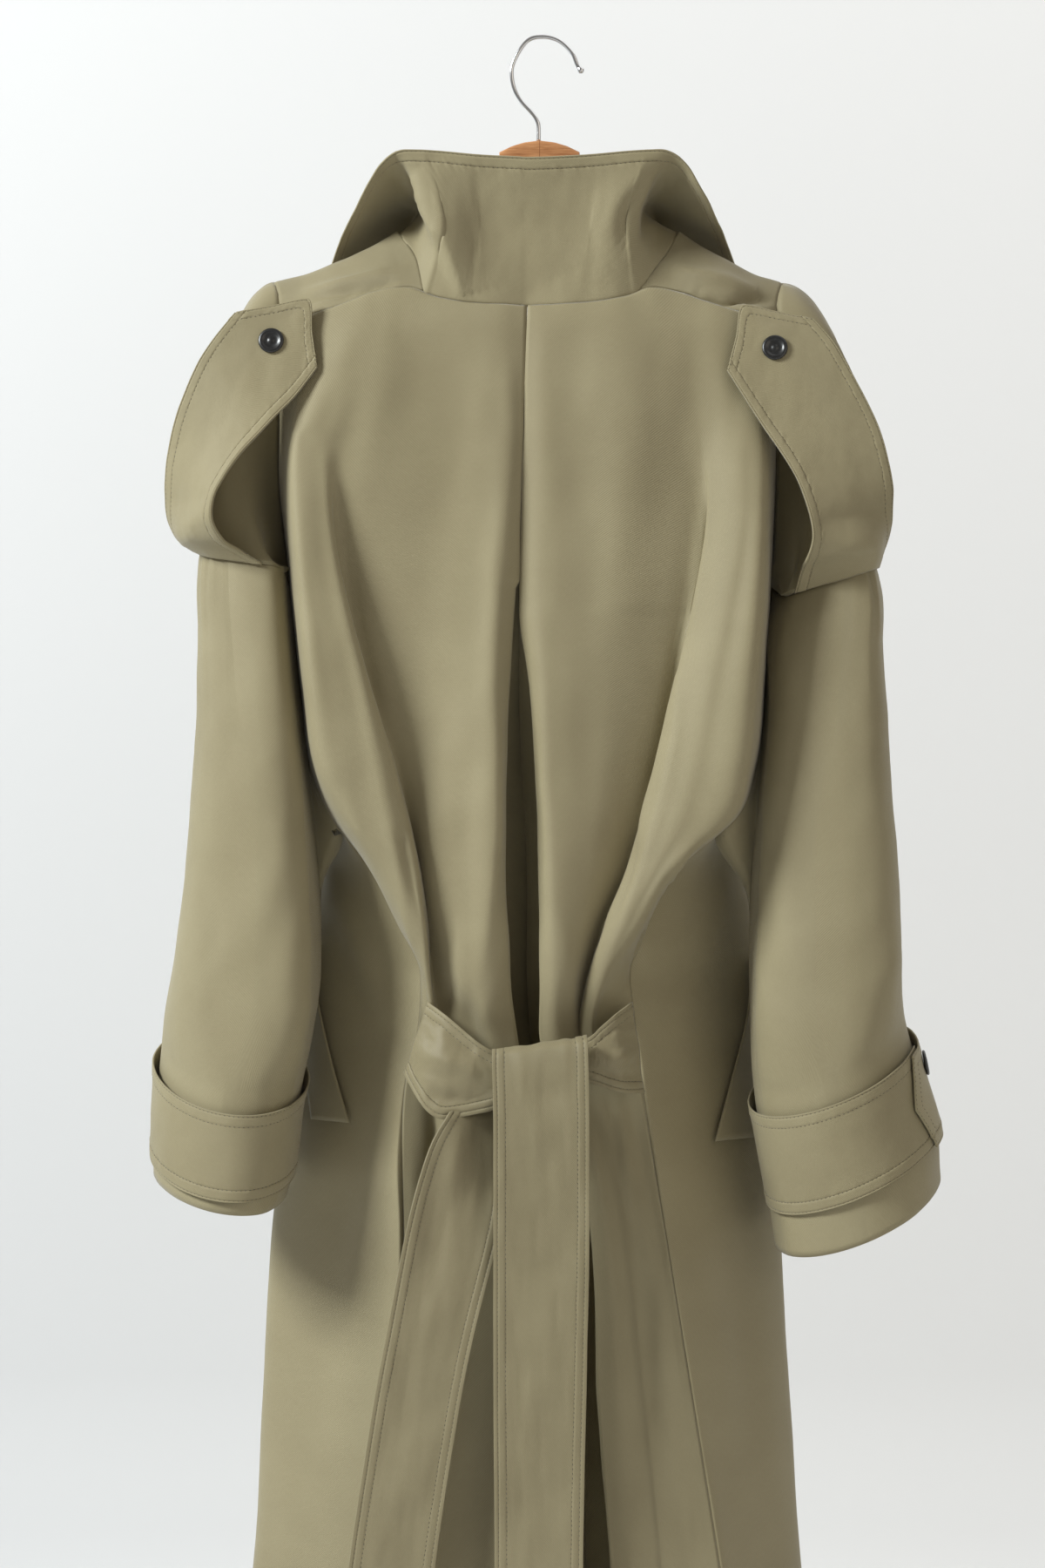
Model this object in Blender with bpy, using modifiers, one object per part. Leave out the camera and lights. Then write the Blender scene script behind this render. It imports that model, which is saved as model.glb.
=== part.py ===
"""A long, belted kimono coat in cotton gabardine, hung on a wooden coat hanger.

The coat's back faces -Y and its fronts face +Y. Z is up, and the origin is where the
hook hangs. Tables and sizes are in millimetres, and objects are made in metres.
"""
import math

import bpy
import numpy as np
from mathutils import Vector

MM = 0.001
CLOTH = 1.6          # wall of one panel, with its seam allowances and facing
STRAP_CLOTH = 2.4    # straps and belt are two layers
SEAM = 0.3           # gap between two pieces at a seam
TURNED = 0.7         # how far a panel is drawn in at a seam where the two pieces meet at an angle
LAY = 0.4            # gap between a panel and what lies on it
HEM = -1430.0
SHOULDER_DRIFT = -9.0   # the coat hangs this far to the left of the hanger's middle

FRONT_LAP = 60.0        # how far each front runs past the middle
LAP_GAP = 3.5           # how far the right front lies behind the left one
CHEST = 75.0            # where a front begins to bend back, from the middle
LEFT, RIGHT = -1, 1
SIDE_NAMES = {LEFT: "left", RIGHT: "right"}

# The back's section at each height: depth of each fold line, towards the viewer of the back.
BACK_DEPTH = {
    "z":      [-195, -270, -335, -457, -520, -579, -620, -661, -702, -743, -783, -831, -967, -1205, -1430],
    "lip":    [-44,  -56,  -61,  -67,  -69,  -71,  -72,  -73,  -72,  -69,  -64,  -64,  -67,  -82,   -92],
    "swell":  [-46,  -59,  -64,  -72,  -75,  -78,  -80,  -81,  -80,  -76,  -67,  -66,  -66,  -76,   -84],
    "valley": [-46,  -60,  -64,  -66,  -65,  -63,  -61,  -59,  -57,  -55,  -55,  -55,  -57,  -62,   -66],
    "ridge":  [-42,  -59,  -68,  -78,  -82,  -87,  -90,  -92,  -86,  -68,  -59,  -58,  -62,  -72,   -80],
    "edge":   [-36,  -47,  -52,  -60,  -66,  -70,  -68,  -66,  -64,  -57,  -55,  -57,  -64,  -76,   -84],
    "seam":   [-28,  -18,  -10,  -8,   -12,  -24,  -38,  -42,  -46,  -50,  -52,  -56,  -64,  -77,   -85],
}

# Where each fold line lies across the back, from the pleat's lip to the armhole or the side seam.
BACK_ACROSS = {
    LEFT: {
        "z":      [-195, -335, -457, -518, -579, -620, -661, -702, -743, -783, -831, -967, -1205, -1430],
        "lip":    [-9,   -13,  -20,  -23,  -25,  -27,  -27,  -26,  -25,  -19,  -18,  -20,  -24,   -28],
        "swell":  [-45,  -50,  -52,  -52,  -53,  -53,  -52,  -50,  -47,  -42,  -40,  -44,  -52,   -60],
        "valley": [-92,  -108, -116, -106, -97,  -91,  -86,  -80,  -73,  -64,  -62,  -66,  -78,   -92],
        "ridge":  [-138, -172, -150, -133, -118, -108, -99,  -91,  -82,  -78,  -82,  -84,  -97,   -118],
        "edge":   [-178, -192, -178, -170, -163, -157, -138, -116, -95,  -88,  -96,  -98,  -113,  -136],
        "seam":   [-202, -206, -195, -189, -181, -164, -132, -110, -91,  -95,  -106, -107, -125,  -150],
    },
    RIGHT: {
        "z":      [-195, -335, -457, -518, -579, -620, -661, -702, -743, -783, -831,
                   -904, -1069, -1205, -1430],
        "lip":    [-9,   -13,  -15,  -6,   -2,   0,    1,    1,    0,    -1,   12,   34,   45,    54,    66],
        "swell":  [28,   30,   28,   32,   34,   35,   34,   31,   26,   24,   32,   48,   62,    74,    90],
        "valley": [75,   95,   90,   80,   72,   66,   59,   49,   38,   40,   48,   60,   78,    92,    114],
        "ridge":  [120,  152,  120,  106,  90,   81,   73,   59,   48,   52,   62,   74,   94,    112,   138],
        "edge":   [162,  174,  158,  151,  147,  143,  110,  89,   68,   66,   73,   84,   109,   128,   157],
        "seam":   [186,  187,  182,  178,  170,  154,  104,  84,   71,   75,   81,   92,   119,   141,   172],
    },
}

# The inverted centre pleat: its bottom seam, its depth and how far it opens under each lip.
PLEAT_SHUT = -440.0     # above this height the pleat's two lips are sewn together
SHUT_HALF = 1.15        # half the way between the two lips where they are sewn
LIP_SET = 0.6           # each lip is set back this far where the pleat is free
PLEAT = {
    "z":      [-195, -440, -500, -560, -661, -783, -831, -904, -1205, -1430],
    "middle": [-9,   -16,  -16,  -15,  -10,  -8,   0,    8,    16,    20],
    "gap":    [1.15, 1.15, 0.3,  0.3,  0.3,  0.3,  0.3,  0.3,  0.3,   0.3],
    "depth":  [5,    6,    16,   26,   34,   32,   32,   36,   46,    52],
    "under":  [0.2,  0.2,  5,    7,    9,    9,    9,    10,   12,    14],
}

# The back's top edge, across: the neck seam and then the back-set shoulder seam.
BACK_TOP_HEIGHT = -225.0
BACK_TOP = {
    "share": [0.0,  0.18, 0.30, 0.42, 0.70, 1.0],
    "z":     [-217, -215, -210, -202, -219, -236],
}

# One row for each line across a front, from its free edge round the side. "in" is the neck seam
# or the free edge, "out" is the armhole and, in the last rows, the side seam on the back.
FRONT_ROWS = [
    # z_in  u_in  y_in  u_chest y_chest u_corner y_corner u_flank y_flank u_out y_out z_out
    (-178,  98,  -28,   122,   -30,    147,    -29,     174,    -24,    196,  -18,  -222),
    (-160,  112, -4,    134,   -4,     156,    -3,      180,    -2,     199,  0,    -211),
    (-172,  106, 18,    130,   22,     153,    24,      178,    22,     198,  14,   -220),
    (-205,  90,  38,    116,   42,     145,    42,      174,    36,     196,  22,   -250),
    (-245,  62,  50,    98,    54,     136,    52,      170,    44,     193,  26,   -300),
    (-285,  18,  57,    74,    60,     122,    60,      164,    50,     190,  27,   -360),
    (-320,  -FRONT_LAP, 61, CHEST, 62, 118,    62,      160,    52,     186,  26,   -420),
    (-410,  -FRONT_LAP, 66, CHEST, 67, 120,    66,      158,    54,     181,  22,   -480),
    (-490,  -FRONT_LAP, 68, CHEST, 69, 120,    68,      155,    54,     174,  16,   -545),
    (-555,  -FRONT_LAP, 68, CHEST, 69, 120,    68,      152,    50,     168,  2,    -590),
    (-600,  -FRONT_LAP, 68, CHEST, 69, 120,    68,      152,    44,     162,  -18,  -614),
]
# Below the armhole: the free edge, the chest, the front corner and the flank at each height.
FRONT_SKIRT = {
    "z":        [-640, -702, -783, -860, -930, -1000, -1080, -1205, -1430],
    "y_in":     [68,   68,   66,   66,   70,   74,    79,    85,    95],
    "u_corner": [122,  136,  150,  158,  170,  176,   180,   186,   200],
    "y_corner": [68,   68,   66,   66,   70,   74,    79,    84,    92],
    "u_flank":  [164,  182,  190,  196,  205,  208,   212,   219,   240],
    "y_flank":  [42,   50,   52,   52,   46,   36,    28,    20,    14],
}

# Each sleeve, from the cross seam to its hem: a ring that leans, low on the inner side.
SLEEVE = {
    LEFT: {
        "z":     [-413, -457, -522, -598, -674, -729, -783, -830, -889, -906],
        "outer": [-268, -269, -271, -274, -280, -287, -296, -300, -304, -304],
        "inner": [-200, -196, -189, -181, -175, -174, -178, -184, -190, -194],
        "lean":  [6,    6,    6,    8,    12,   16,   22,   25,   23,   18],
        "pitch": [4,    4,    6,    8,    12,   16,   20,   21,   21,   20],
        "y":     [-6,   -9,   -13,  -17,  -20,  -23,  -26,  -27,  -27,  -27],
        "deep":  [45,   50,   56,   60,   62,   64,   65,   66,   66,   66],
    },
    RIGHT: {
        "z":     [-430, -457, -522, -587, -663, -739, -797, -840, -892, -928],
        "outer": [265,  269,  271,  275,  281,  284,  286,  296,  312,  315],
        "inner": [188,  181,  178,  173,  168,  166,  168,  174,  182,  186],
        "lean":  [12,   12,   12,   14,   20,   30,   40,   46,   52,   44],
        "pitch": [4,    4,    6,    8,    12,   16,   20,   21,   21,   20],
        "y":     [-6,   -9,   -13,  -17,  -20,  -23,  -26,  -27,  -27,  -27],
        "deep":  [45,   50,   56,   60,   62,   64,   65,   66,   66,   66],
    },
}
CUFF_STRAP = {LEFT: (-818, -889), RIGHT: (-818, -892)}
CUFF_BUTTON_ANGLE = {LEFT: 130.0, RIGHT: 8.0}

# Each shoulder strap, from its pointed end to the cross seam: its outer and inner edges.
STRAP = {
    LEFT: {
        "outer_x": [-239, -255, -268, -281, -289, -294, -293, -285, -270],
        "outer_z": [-224, -244, -264, -294, -322, -355, -382, -400, -410],
        "outer_y": [-38,  -36,  -34,  -30,  -26,  -20,  -14,  -10,  -8],
        "inner_x": [-174, -190, -203, -218, -234, -249, -254, -245, -220],
        "inner_z": [-268, -290, -304, -321, -339, -363, -384, -404, -417],
        "inner_y": [-60,  -65,  -70,  -76,  -82,  -87,  -86,  -74,  -52],
    },
    RIGHT: {
        "outer_x": [214,  230,  247,  262,  270,  275,  275,  272,  267],
        "outer_z": [-230, -249, -280, -311, -337, -366, -386, -404, -421],
        "outer_y": [-38,  -36,  -34,  -30,  -26,  -20,  -14,  -10,  -8],
        "inner_x": [146,  163,  175,  187,  199,  208,  211,  207,  200],
        "inner_z": [-271, -299, -318, -336, -357, -383, -402, -419, -432],
        "inner_y": [-66,  -71,  -75,  -79,  -83,  -87,  -86,  -74,  -46],
    },
}
STRAP_TIP = {LEFT: (-182, -49, -213), RIGHT: (160, -52, -218)}
STRAP_END = {LEFT: (-6, -116), RIGHT: (-6, -130)}    # its edges on the cross seam, in degrees round it
STRAP_BUTTON = {LEFT: (-209.5, -247.5), RIGHT: (183.6, -255.7)}
BUTTON_RADIUS, BUTTON_THICK = 10.0, 3.4

# The collar at each station from the middle of the back to its front corner: the neck seam,
# half way up, and the free edge.
COLLAR = {
    "mid_x":  [4,    38,   64,   80,   86,   94,   106,  122,  124,  114,  86],
    "mid_y":  [-50,  -52,  -52,  -46,  -28,  -8,   12,   42,   64,   78,   82],
    "mid_z":  [-160, -160, -158, -152, -146, -143, -146, -160, -188, -224, -262],
    "top_x":  [4,    42,   76,   97,   110,  122,  134,  148,  160,  162,  144],
    "top_y":  [-42,  -42,  -40,  -33,  -17,  4,    24,   44,   60,   76,   86],
    "top_z":  [-103, -101, -98,  -95,  -98,  -109, -128, -152, -182, -215, -252],
}
COLLAR_MIDDLE = -5.0

# The belt, from where it is sewn into a side seam of the back to the knot: its two edges.
BELT = {
    LEFT: {
        "x_top": [-87,  -72,  -55,  -38,  -14],
        "z_top": [-763, -773, -787, -799, -806],
        "x_low": [-105, -94,  -76,  -40,  -14],
        "z_low": [-818, -838, -852, -846, -836],
        "y":     [-61.8, -77, -84,  -86,  -86],
    },
    RIGHT: {
        "x_top": [71,   58,   46,   37,   16],
        "z_top": [-763, -772, -782, -790, -798],
        "x_low": [81,   66,   52,   38,   16],
        "z_low": [-834, -833, -829, -824, -820],
        "y":     [-58.6, -74, -81,  -83,  -82],
    },
}
TAIL_FRONT = {
    "z":     [-836, -806, -797, -806, -860, -930, -1040, -1205, -1345],
    "y":     [-91.4, -91.6, -95, -101, -104, -104, -104,  -107,  -110],
    "left":  [-36,  -37,  -37,  -37,  -36,  -36,  -36,   -35,   -35],
    "right": [38,   37,   36,   37,   38,   38,   36,    33,    33],
}
TAIL_REAR = {
    "z":     [-846, -870, -900, -940, -1015, -1080, -1205, -1320],
    "y":     [-89,  -93,  -95,  -96,  -95,   -95,   -98,   -100],
    "left":  [-70,  -84,  -94,  -104, -118,  -130,  -149,  -162],
    "right": [-40,  -39,  -38,  -38,  -50,   -63,   -82,   -92],
}

# Each pocket welt, by its corners across the side panel: (share from the side seam, height).
POCKET = {
    LEFT: {"z": [-720, -765, -817, -861], "near": [0.70, 0.62, 0.47, 0.33], "far": [0.80, 0.80, 0.72, 0.60]},
    RIGHT: {"z": [-734, -780, -830, -876], "near": [0.76, 0.68, 0.52, 0.38], "far": [0.86, 0.86, 0.78, 0.68]},
}

# The hanger's bow: its middle block, and the arms, whose top runs under the coat's shoulders.
HANGER = {
    "x":      [0,   12,    22,    30,    35,   60,   100,  135,  160,  180,  188],
    "block":  [-81, -82.5, -85.5, -90.5, -119],
    "tall":   [27,  26,    25,    22.5,  13,   13,   13,   12,   11,   9,    6],
    "deep":   [7,   7,     7,     7,     7,    7.0,  7.0,  7.0,  7.0,  7.0,  5],
    "drop":   [0,   0,     0,     0,     0,    0,    2,    0,    1,    4,    13],
    "square": [6,   6,     6,     6,     4,    2.2,  2.0,  2.0,  2.0,  2.0,  2.0],
}
ARM_CLEARANCE = 4.0
SHOULDER_START = 116.0      # from here out an arm follows the coat's shoulder
HOOK_WIRE = 3.6
# The hook, from its ball end over the top and down its swan neck to the wood.
HOOK_X = [34.5, 33.0, 29.9, 25.8, 15.6, 3.0, -8.6, -17.4, -22.3, -20.7, -15.2, -6.3, -1.9, -0.8, -0.8]
HOOK_Z = [-27.0, -24.9, -20.0, -10.9, -1.4, 1.9, -0.6, -11.6, -25.4, -37.5, -48.6, -58.5, -65.1, -71.8, -80.9]
BALL_SWELL = [0.55, 1.2, 1.5, 1.6, 1.35]    # the wire's swelling at its ball end, as shares of its radius


def smooth(at, places, values):
    """A smooth curve through the table's values, read at the given places."""
    places, values = np.asarray(places, float), np.asarray(values, float)
    if places[0] > places[-1]:
        places, values = places[::-1], values[::-1]
    steps = np.diff(places)
    rises = np.diff(values) / steps
    slopes = np.empty_like(values)
    slopes[0], slopes[-1] = rises[0], rises[-1]
    slopes[1:-1] = np.where(rises[:-1] * rises[1:] > 0, (rises[:-1] + rises[1:]) / 2, 0)
    at = np.clip(np.asarray(at, float), places[0], places[-1])
    k = np.clip(np.searchsorted(places, at) - 1, 0, len(steps) - 1)
    t = (at - places[k]) / steps[k]
    h = steps[k]
    return ((2 * t**3 - 3 * t**2 + 1) * values[k] + (t**3 - 2 * t**2 + t) * h * slopes[k]
            + (3 * t**2 - 2 * t**3) * values[k + 1] + (t**3 - t**2) * h * slopes[k + 1])


def row(table, name, z):
    return smooth(z, table["z"], table[name])


def through(points, counts):
    """A smooth line through points, with the given number of steps between each two."""
    points = np.asarray(points, float)
    places = [k + i / n for k, n in enumerate(counts) for i in range(n)] + [len(counts)]
    return np.stack([smooth(places, range(len(points)), points[:, axis]) for axis in range(3)], axis=-1)


def resample(line, count):
    """The same line with points at equal steps along it."""
    line = np.asarray(line, float)
    run = np.concatenate([[0], np.cumsum(np.linalg.norm(np.diff(line, axis=0), axis=1))])
    places = np.linspace(0, run[-1], count)
    return np.stack([np.interp(places, run, line[:, axis]) for axis in range(3)], axis=-1)


def drawn_in(grid, first_row=0.0, last_row=0.0, first_column=0.0, last_column=0.0):
    """The panel with the named edges drawn in along its surface, to leave a seam's gap."""
    grid = np.array(grid, float)
    for amount, edge, inside in ((first_row, np.s_[0], np.s_[1]),
                                 (last_row, np.s_[-1], np.s_[-2]),
                                 (first_column, np.s_[:, 0], np.s_[:, 1]),
                                 (last_column, np.s_[:, -1], np.s_[:, -2])):
        if np.any(amount):
            way = grid[inside] - grid[edge]
            way /= np.maximum(np.linalg.norm(way, axis=-1, keepdims=True), 1e-9)
            grid[edge] += np.reshape(amount, (-1, 1)) * way
    return grid


def seam_room(edge, own_inside, other_inside, thick=CLOTH):
    """How far each of two panels is drawn in where they meet, more where they meet at a sharp angle."""
    own = own_inside - edge
    other = other_inside - edge
    own = own / np.linalg.norm(own, axis=-1, keepdims=True)
    other = other / np.linalg.norm(other, axis=-1, keepdims=True)
    angle = np.arccos(np.clip((own * other).sum(axis=-1), -1, 1))
    return SEAM / 2 + 0.1 + thick / 2 / np.tan(np.maximum(angle, 0.5) / 2)


def normals(grid):
    """The unit normal at each point of a grid."""
    along = np.gradient(grid, axis=0)
    across = np.gradient(grid, axis=1)
    found = np.cross(across, along)
    return found / np.maximum(np.linalg.norm(found, axis=-1, keepdims=True), 1e-9)


def material(name, colour, roughness, metallic=0.0):
    made = bpy.data.materials.new(name)
    made.use_nodes = True
    shader = made.node_tree.nodes["Principled BSDF"]
    shader.inputs["Base Color"].default_value = (*colour, 1)
    shader.inputs["Roughness"].default_value = roughness
    shader.inputs["Metallic"].default_value = metallic
    made.diffuse_color = (*colour, 1)
    return made


def place(name, mesh, finish):
    thing = bpy.data.objects.new(name, mesh)
    thing.data.materials.append(finish)
    coat.objects.link(thing)
    return thing


def cloth(name, grid, finish, thick=CLOTH, wrap=False):
    """A wall of cloth on a grid of points: an open surface with Solidify."""
    grid = np.asarray(grid, float)
    rows, columns = grid.shape[:2]
    spans = columns if wrap else columns - 1
    faces = [(i * columns + j, i * columns + (j + 1) % columns,
              (i + 1) * columns + (j + 1) % columns, (i + 1) * columns + j)
             for i in range(rows - 1) for j in range(spans)]
    mesh = bpy.data.meshes.new(name)
    mesh.from_pydata([tuple(p) for p in grid.reshape(-1, 3) * MM], [], faces)
    mesh.shade_smooth()
    thing = place(name, mesh, finish)
    wall = thing.modifiers.new("wall", "SOLIDIFY")
    wall.thickness = thick * MM
    wall.offset = 0
    return thing


# ---- scene and materials ----
for old in list(bpy.data.objects):
    bpy.data.objects.remove(old)
coat = bpy.data.collections.new("kimono_coat")
bpy.context.scene.collection.children.link(coat)
gabardine = material("gabardine", (0.36, 0.34, 0.24), 0.75)
belting = material("belting", (0.38, 0.36, 0.26), 0.6)
beech = material("beech", (0.50, 0.26, 0.13), 0.5)
chrome = material("chrome", (0.8, 0.8, 0.8), 0.15, 1.0)
horn = material("horn", (0.02, 0.02, 0.02), 0.2)


# ---- the back: two panels with an inverted pleat between them ----
BACK_STEPS = (1, 1, 2, 2, 2, 3, 2)    # middle, under fold, lip, swell, valley, ridge, edge, seam
BACK_HEIGHTS = np.array([-250, -290, -335, -390, -440, -490, -540, -585, -612, -636, -661, -690, -720,
                         -745, -768, -795, -831, -880, -960, -1080, -1240, HEM])
ARMPIT_ROW = 9      # the first row of a back panel's edge that is below the armhole
LIP_COLUMN = 2


def back_section(side, z):
    """The back panel's line across at one height, from the pleat's bottom out to its seam."""
    across = BACK_ACROSS[side]
    lip_x, lip_y = row(across, "lip", z), row(BACK_DEPTH, "lip", z)
    middle, gap = row(PLEAT, "middle", z), row(PLEAT, "gap", z)
    depth, under = row(PLEAT, "depth", z), row(PLEAT, "under", z)
    lip_x = middle + side * SHUT_HALF if z > PLEAT_SHUT else lip_x + side * LIP_SET
    points = [(middle + side * gap, lip_y + depth, z),
              (lip_x + side * under, lip_y + 0.85 * depth, z),
              (lip_x, lip_y, z)]
    fold = through(points, BACK_STEPS[:2])
    panel = [points[-1]] + [(row(across, name, z), row(BACK_DEPTH, name, z), z)
                            for name in ("swell", "valley", "ridge", "edge", "seam")]
    return np.concatenate([fold, through(panel, BACK_STEPS[2:])[1:]])


def back_panel(side):
    lines = [back_section(side, z) for z in BACK_HEIGHTS]
    top = back_section(side, BACK_TOP_HEIGHT)
    share = np.clip((np.arange(len(top)) - LIP_COLUMN) / (len(top) - 1 - LIP_COLUMN), 0, 1)
    top[:, 2] = smooth(share, BACK_TOP["share"], BACK_TOP["z"])
    top[:, 1] += 6 * np.clip((top[:, 2] + 236) / 36, 0, 1)
    return np.array([top] + lines)


BACKS = {side: back_panel(side) for side in (LEFT, RIGHT)}


# ---- the fronts: each runs over the shoulder and round the side ----
FRONT_STEPS = (3, 2, 2, 3)


def side_x(side, u):
    """Across, from the distance to the coat's middle: the coat hangs off centre at the shoulders."""
    return side * u + SHOULDER_DRIFT * np.clip((u - 100) / 90, 0, 1)


def front_panel(side):
    """Rows from the back-set shoulder seam, over the shoulder, down to the hem."""
    back = BACKS[side]
    neck_column = LIP_COLUMN + 4
    lines = [resample(back[0, neck_column:], sum(FRONT_STEPS) + 1)]
    for (z_in, u_in, y_in, u_chest, y_chest, u_corner, y_corner,
         u_flank, y_flank, u_out, y_out, z_out) in FRONT_ROWS:
        heights = z_in + (z_out - z_in) * np.array([0, 0.35, 0.6, 0.85, 1])
        lines.append(through([(side_x(side, u_in), y_in, heights[0]),
                              (side_x(side, u_chest), y_chest, heights[1]),
                              (side_x(side, u_corner), y_corner, heights[2]),
                              (side_x(side, u_flank), y_flank, heights[3]),
                              (side_x(side, u_out), y_out, heights[4])], FRONT_STEPS))
    for x, y, z in back[ARMPIT_ROW + 1:, -1]:
        y_in, u_corner, y_corner, u_flank, y_flank = (
            row(FRONT_SKIRT, name, z) for name in ("y_in", "u_corner", "y_corner", "u_flank", "y_flank"))
        lines.append(through([(side * -FRONT_LAP, y_in, z),
                              (side * CHEST, y_in + 1, z),
                              (side_x(side, u_corner), y_corner, z),
                              (side_x(side, u_flank), y_flank, z),
                              (x, y, z)], FRONT_STEPS))
    grid = np.array(lines)
    if side == RIGHT:       # the right front passes under the left one
        under = np.clip((100 - grid[..., 0]) / 35, 0, 1) * np.clip((grid[..., 1] - 45) / 10, 0, 1)
        grid[..., 1] -= LAP_GAP * under
    return grid


FRONTS = {side: front_panel(side) for side in (LEFT, RIGHT)}
for side, name in SIDE_NAMES.items():
    back, front = BACKS[side], FRONTS[side]
    low_back, low_front = back[ARMPIT_ROW + 1:], front[len(FRONT_ROWS) + 1:]
    room = seam_room(low_back[:, -1], low_back[:, -2], low_front[:, -2])
    back_room = np.concatenate([np.full(ARMPIT_ROW + 1, TURNED), room])
    front_room = np.concatenate([np.full(len(FRONT_ROWS) + 1, TURNED), room])
    cloth(f"back_{name}", drawn_in(back, first_row=TURNED, last_column=back_room), gabardine)
    front = drawn_in(front, first_row=TURNED, first_column=TURNED, last_column=front_room)
    cloth(f"front_{name}", front, gabardine)


# ---- the sleeves: a cap above the cross seam, and the sleeve below it ----
CAP_ANGLES = np.radians(np.linspace(-155, 155, 13))
UNDER_COUNT = 7          # points on the lower armhole, between the ends of the cross seam
CAP_BACK_ROW, CAP_FRONT_ROW = 5, 7   # the rows of back and front where the cross seam meets the armhole
CAP_BULGE = 14.0
BESIDE = CLOTH + SEAM + 0.2   # sleeve and body lie side by side where they turn in at the armhole
SLEEVE_SHARES = [0, 0.07, 0.16, 0.28, 0.42, 0.56, 0.68, 0.78, 0.88, 1.0]


def ring_point(side, angle, z, out=0.0):
    """A point round the sleeve: angle 0 is its outer side, 90 degrees its front; z is the ring's height."""
    table = SLEEVE[side]
    outer, inner = row(table, "outer", z), row(table, "inner", z)
    half, deep = abs(outer - inner) / 2 + out, row(table, "deep", z) + out
    return np.stack([(outer + inner) / 2 + side * half * np.cos(angle),
                     row(table, "y", z) + deep * np.sin(angle),
                     z + slant(side, angle, z)], axis=-1)


def slant(side, angle, z):
    return row(SLEEVE[side], "lean", z) * np.cos(angle) + row(SLEEVE[side], "pitch", z) * np.sin(angle)


def sleeve_cap(side):
    back, front = BACKS[side], FRONTS[side]
    armhole = np.concatenate([back[CAP_BACK_ROW::-1, -1], front[1:CAP_FRONT_ROW + 1, -1]])
    upper = resample(armhole, len(CAP_ANGLES)) + [side * BESIDE, 0, 0]
    lower = ring_point(side, CAP_ANGLES, np.full(len(CAP_ANGLES), float(SLEEVE[side]["z"][0])))
    swell = np.stack([side * CAP_BULGE * np.clip(np.cos(CAP_ANGLES), 0, 1), 8 * np.sin(CAP_ANGLES),
                      4 * np.clip(np.cos(CAP_ANGLES), 0, 1)], axis=-1)
    return np.array([upper + (lower - upper) * t + swell * math.sin(math.pi * t ** 0.6)
                     for t in np.linspace(0, 1, 6)])


def sleeve(side, cap):
    back, front = BACKS[side], FRONTS[side]
    armhole = np.concatenate([front[CAP_FRONT_ROW:, -1][:len(FRONT_ROWS) + 1 - CAP_FRONT_ROW],
                              back[ARMPIT_ROW:CAP_BACK_ROW - 1:-1, -1]])
    under = resample(armhole, UNDER_COUNT + 2)[1:-1] + [side * BESIDE, 0, 0]
    top = np.concatenate([cap[-1] - [0, 0, 6 * SEAM], under])
    count = len(top)
    start_angles = np.concatenate([CAP_ANGLES, np.radians(np.linspace(155, 205, UNDER_COUNT + 2)[1:-1])])
    even_angles = np.radians(-150 + np.arange(count) * 360 / count)
    lines = [top]
    hem = float(SLEEVE[side]["z"][-1])
    for share in SLEEVE_SHARES[1:]:
        angles = start_angles + (even_angles - start_angles) * min(1, share / 0.4)
        z = top[:, 2] + (hem + slant(side, angles, hem) - top[:, 2]) * share
        ring_z = z - slant(side, angles, z)
        ring_z = z - slant(side, angles, ring_z)
        ring = ring_point(side, angles, ring_z)
        ring[:, 2] = z
        start = ring_point(side, start_angles, top[:, 2])
        fade = math.exp(-(share / 0.10) ** 2)
        lines.append(ring + (top - start) * [1, 1, 0] * fade)
    return np.array(lines)


CAPS = {side: sleeve_cap(side) for side in (LEFT, RIGHT)}
SLEEVES = {side: sleeve(side, CAPS[side]) for side in (LEFT, RIGHT)}
for side, name in SIDE_NAMES.items():
    cloth(f"sleeve_cap_{name}", drawn_in(CAPS[side], last_row=SEAM), gabardine)
    cloth(f"sleeve_{name}", SLEEVES[side], gabardine, wrap=True)


# ---- the cuff straps: a band round each sleeve whose pointed end laps over its start ----
CUFF_LAP = math.radians(24)
CUFF_LAP_LIFT = 3.2      # the pointed end lies this far above the start
CUFF_STEPS = 26


def cuff_strap(side):
    top, low = CUFF_STRAP[side]
    end = math.radians(CUFF_BUTTON_ANGLE[side])
    lines = []
    for share in (0, 0.33, 0.67, 1):
        points = []
        for k in range(CUFF_STEPS + 1):
            run = k / CUFF_STEPS
            point_in = CUFF_LAP * 0.45 * (abs(share - 0.5) * 2) * np.clip((run - 0.94) / 0.06, 0, 1)
            angle = end - run * (2 * math.pi + CUFF_LAP) - CUFF_LAP + point_in
            lap = CUFF_LAP_LIFT * np.clip((run - 0.88) / 0.06, 0, 1)
            stand = 5.2 - 2.4 * share
            points.append(ring_point(side, angle, top + (low - top) * share, stand + lap))
        lines.append(points)
    return np.array(lines)


CUFFS = {side: cuff_strap(side) for side in (LEFT, RIGHT)}
for side, name in SIDE_NAMES.items():
    cloth(f"cuff_strap_{name}", CUFFS[side], gabardine)


# ---- the collar: it stands up at the back, and its wings spread over the shoulders ----
NECK_COLUMN = LIP_COLUMN + 4
NECK_ROWS = 7
COLLAR_STATIONS = 18


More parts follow.
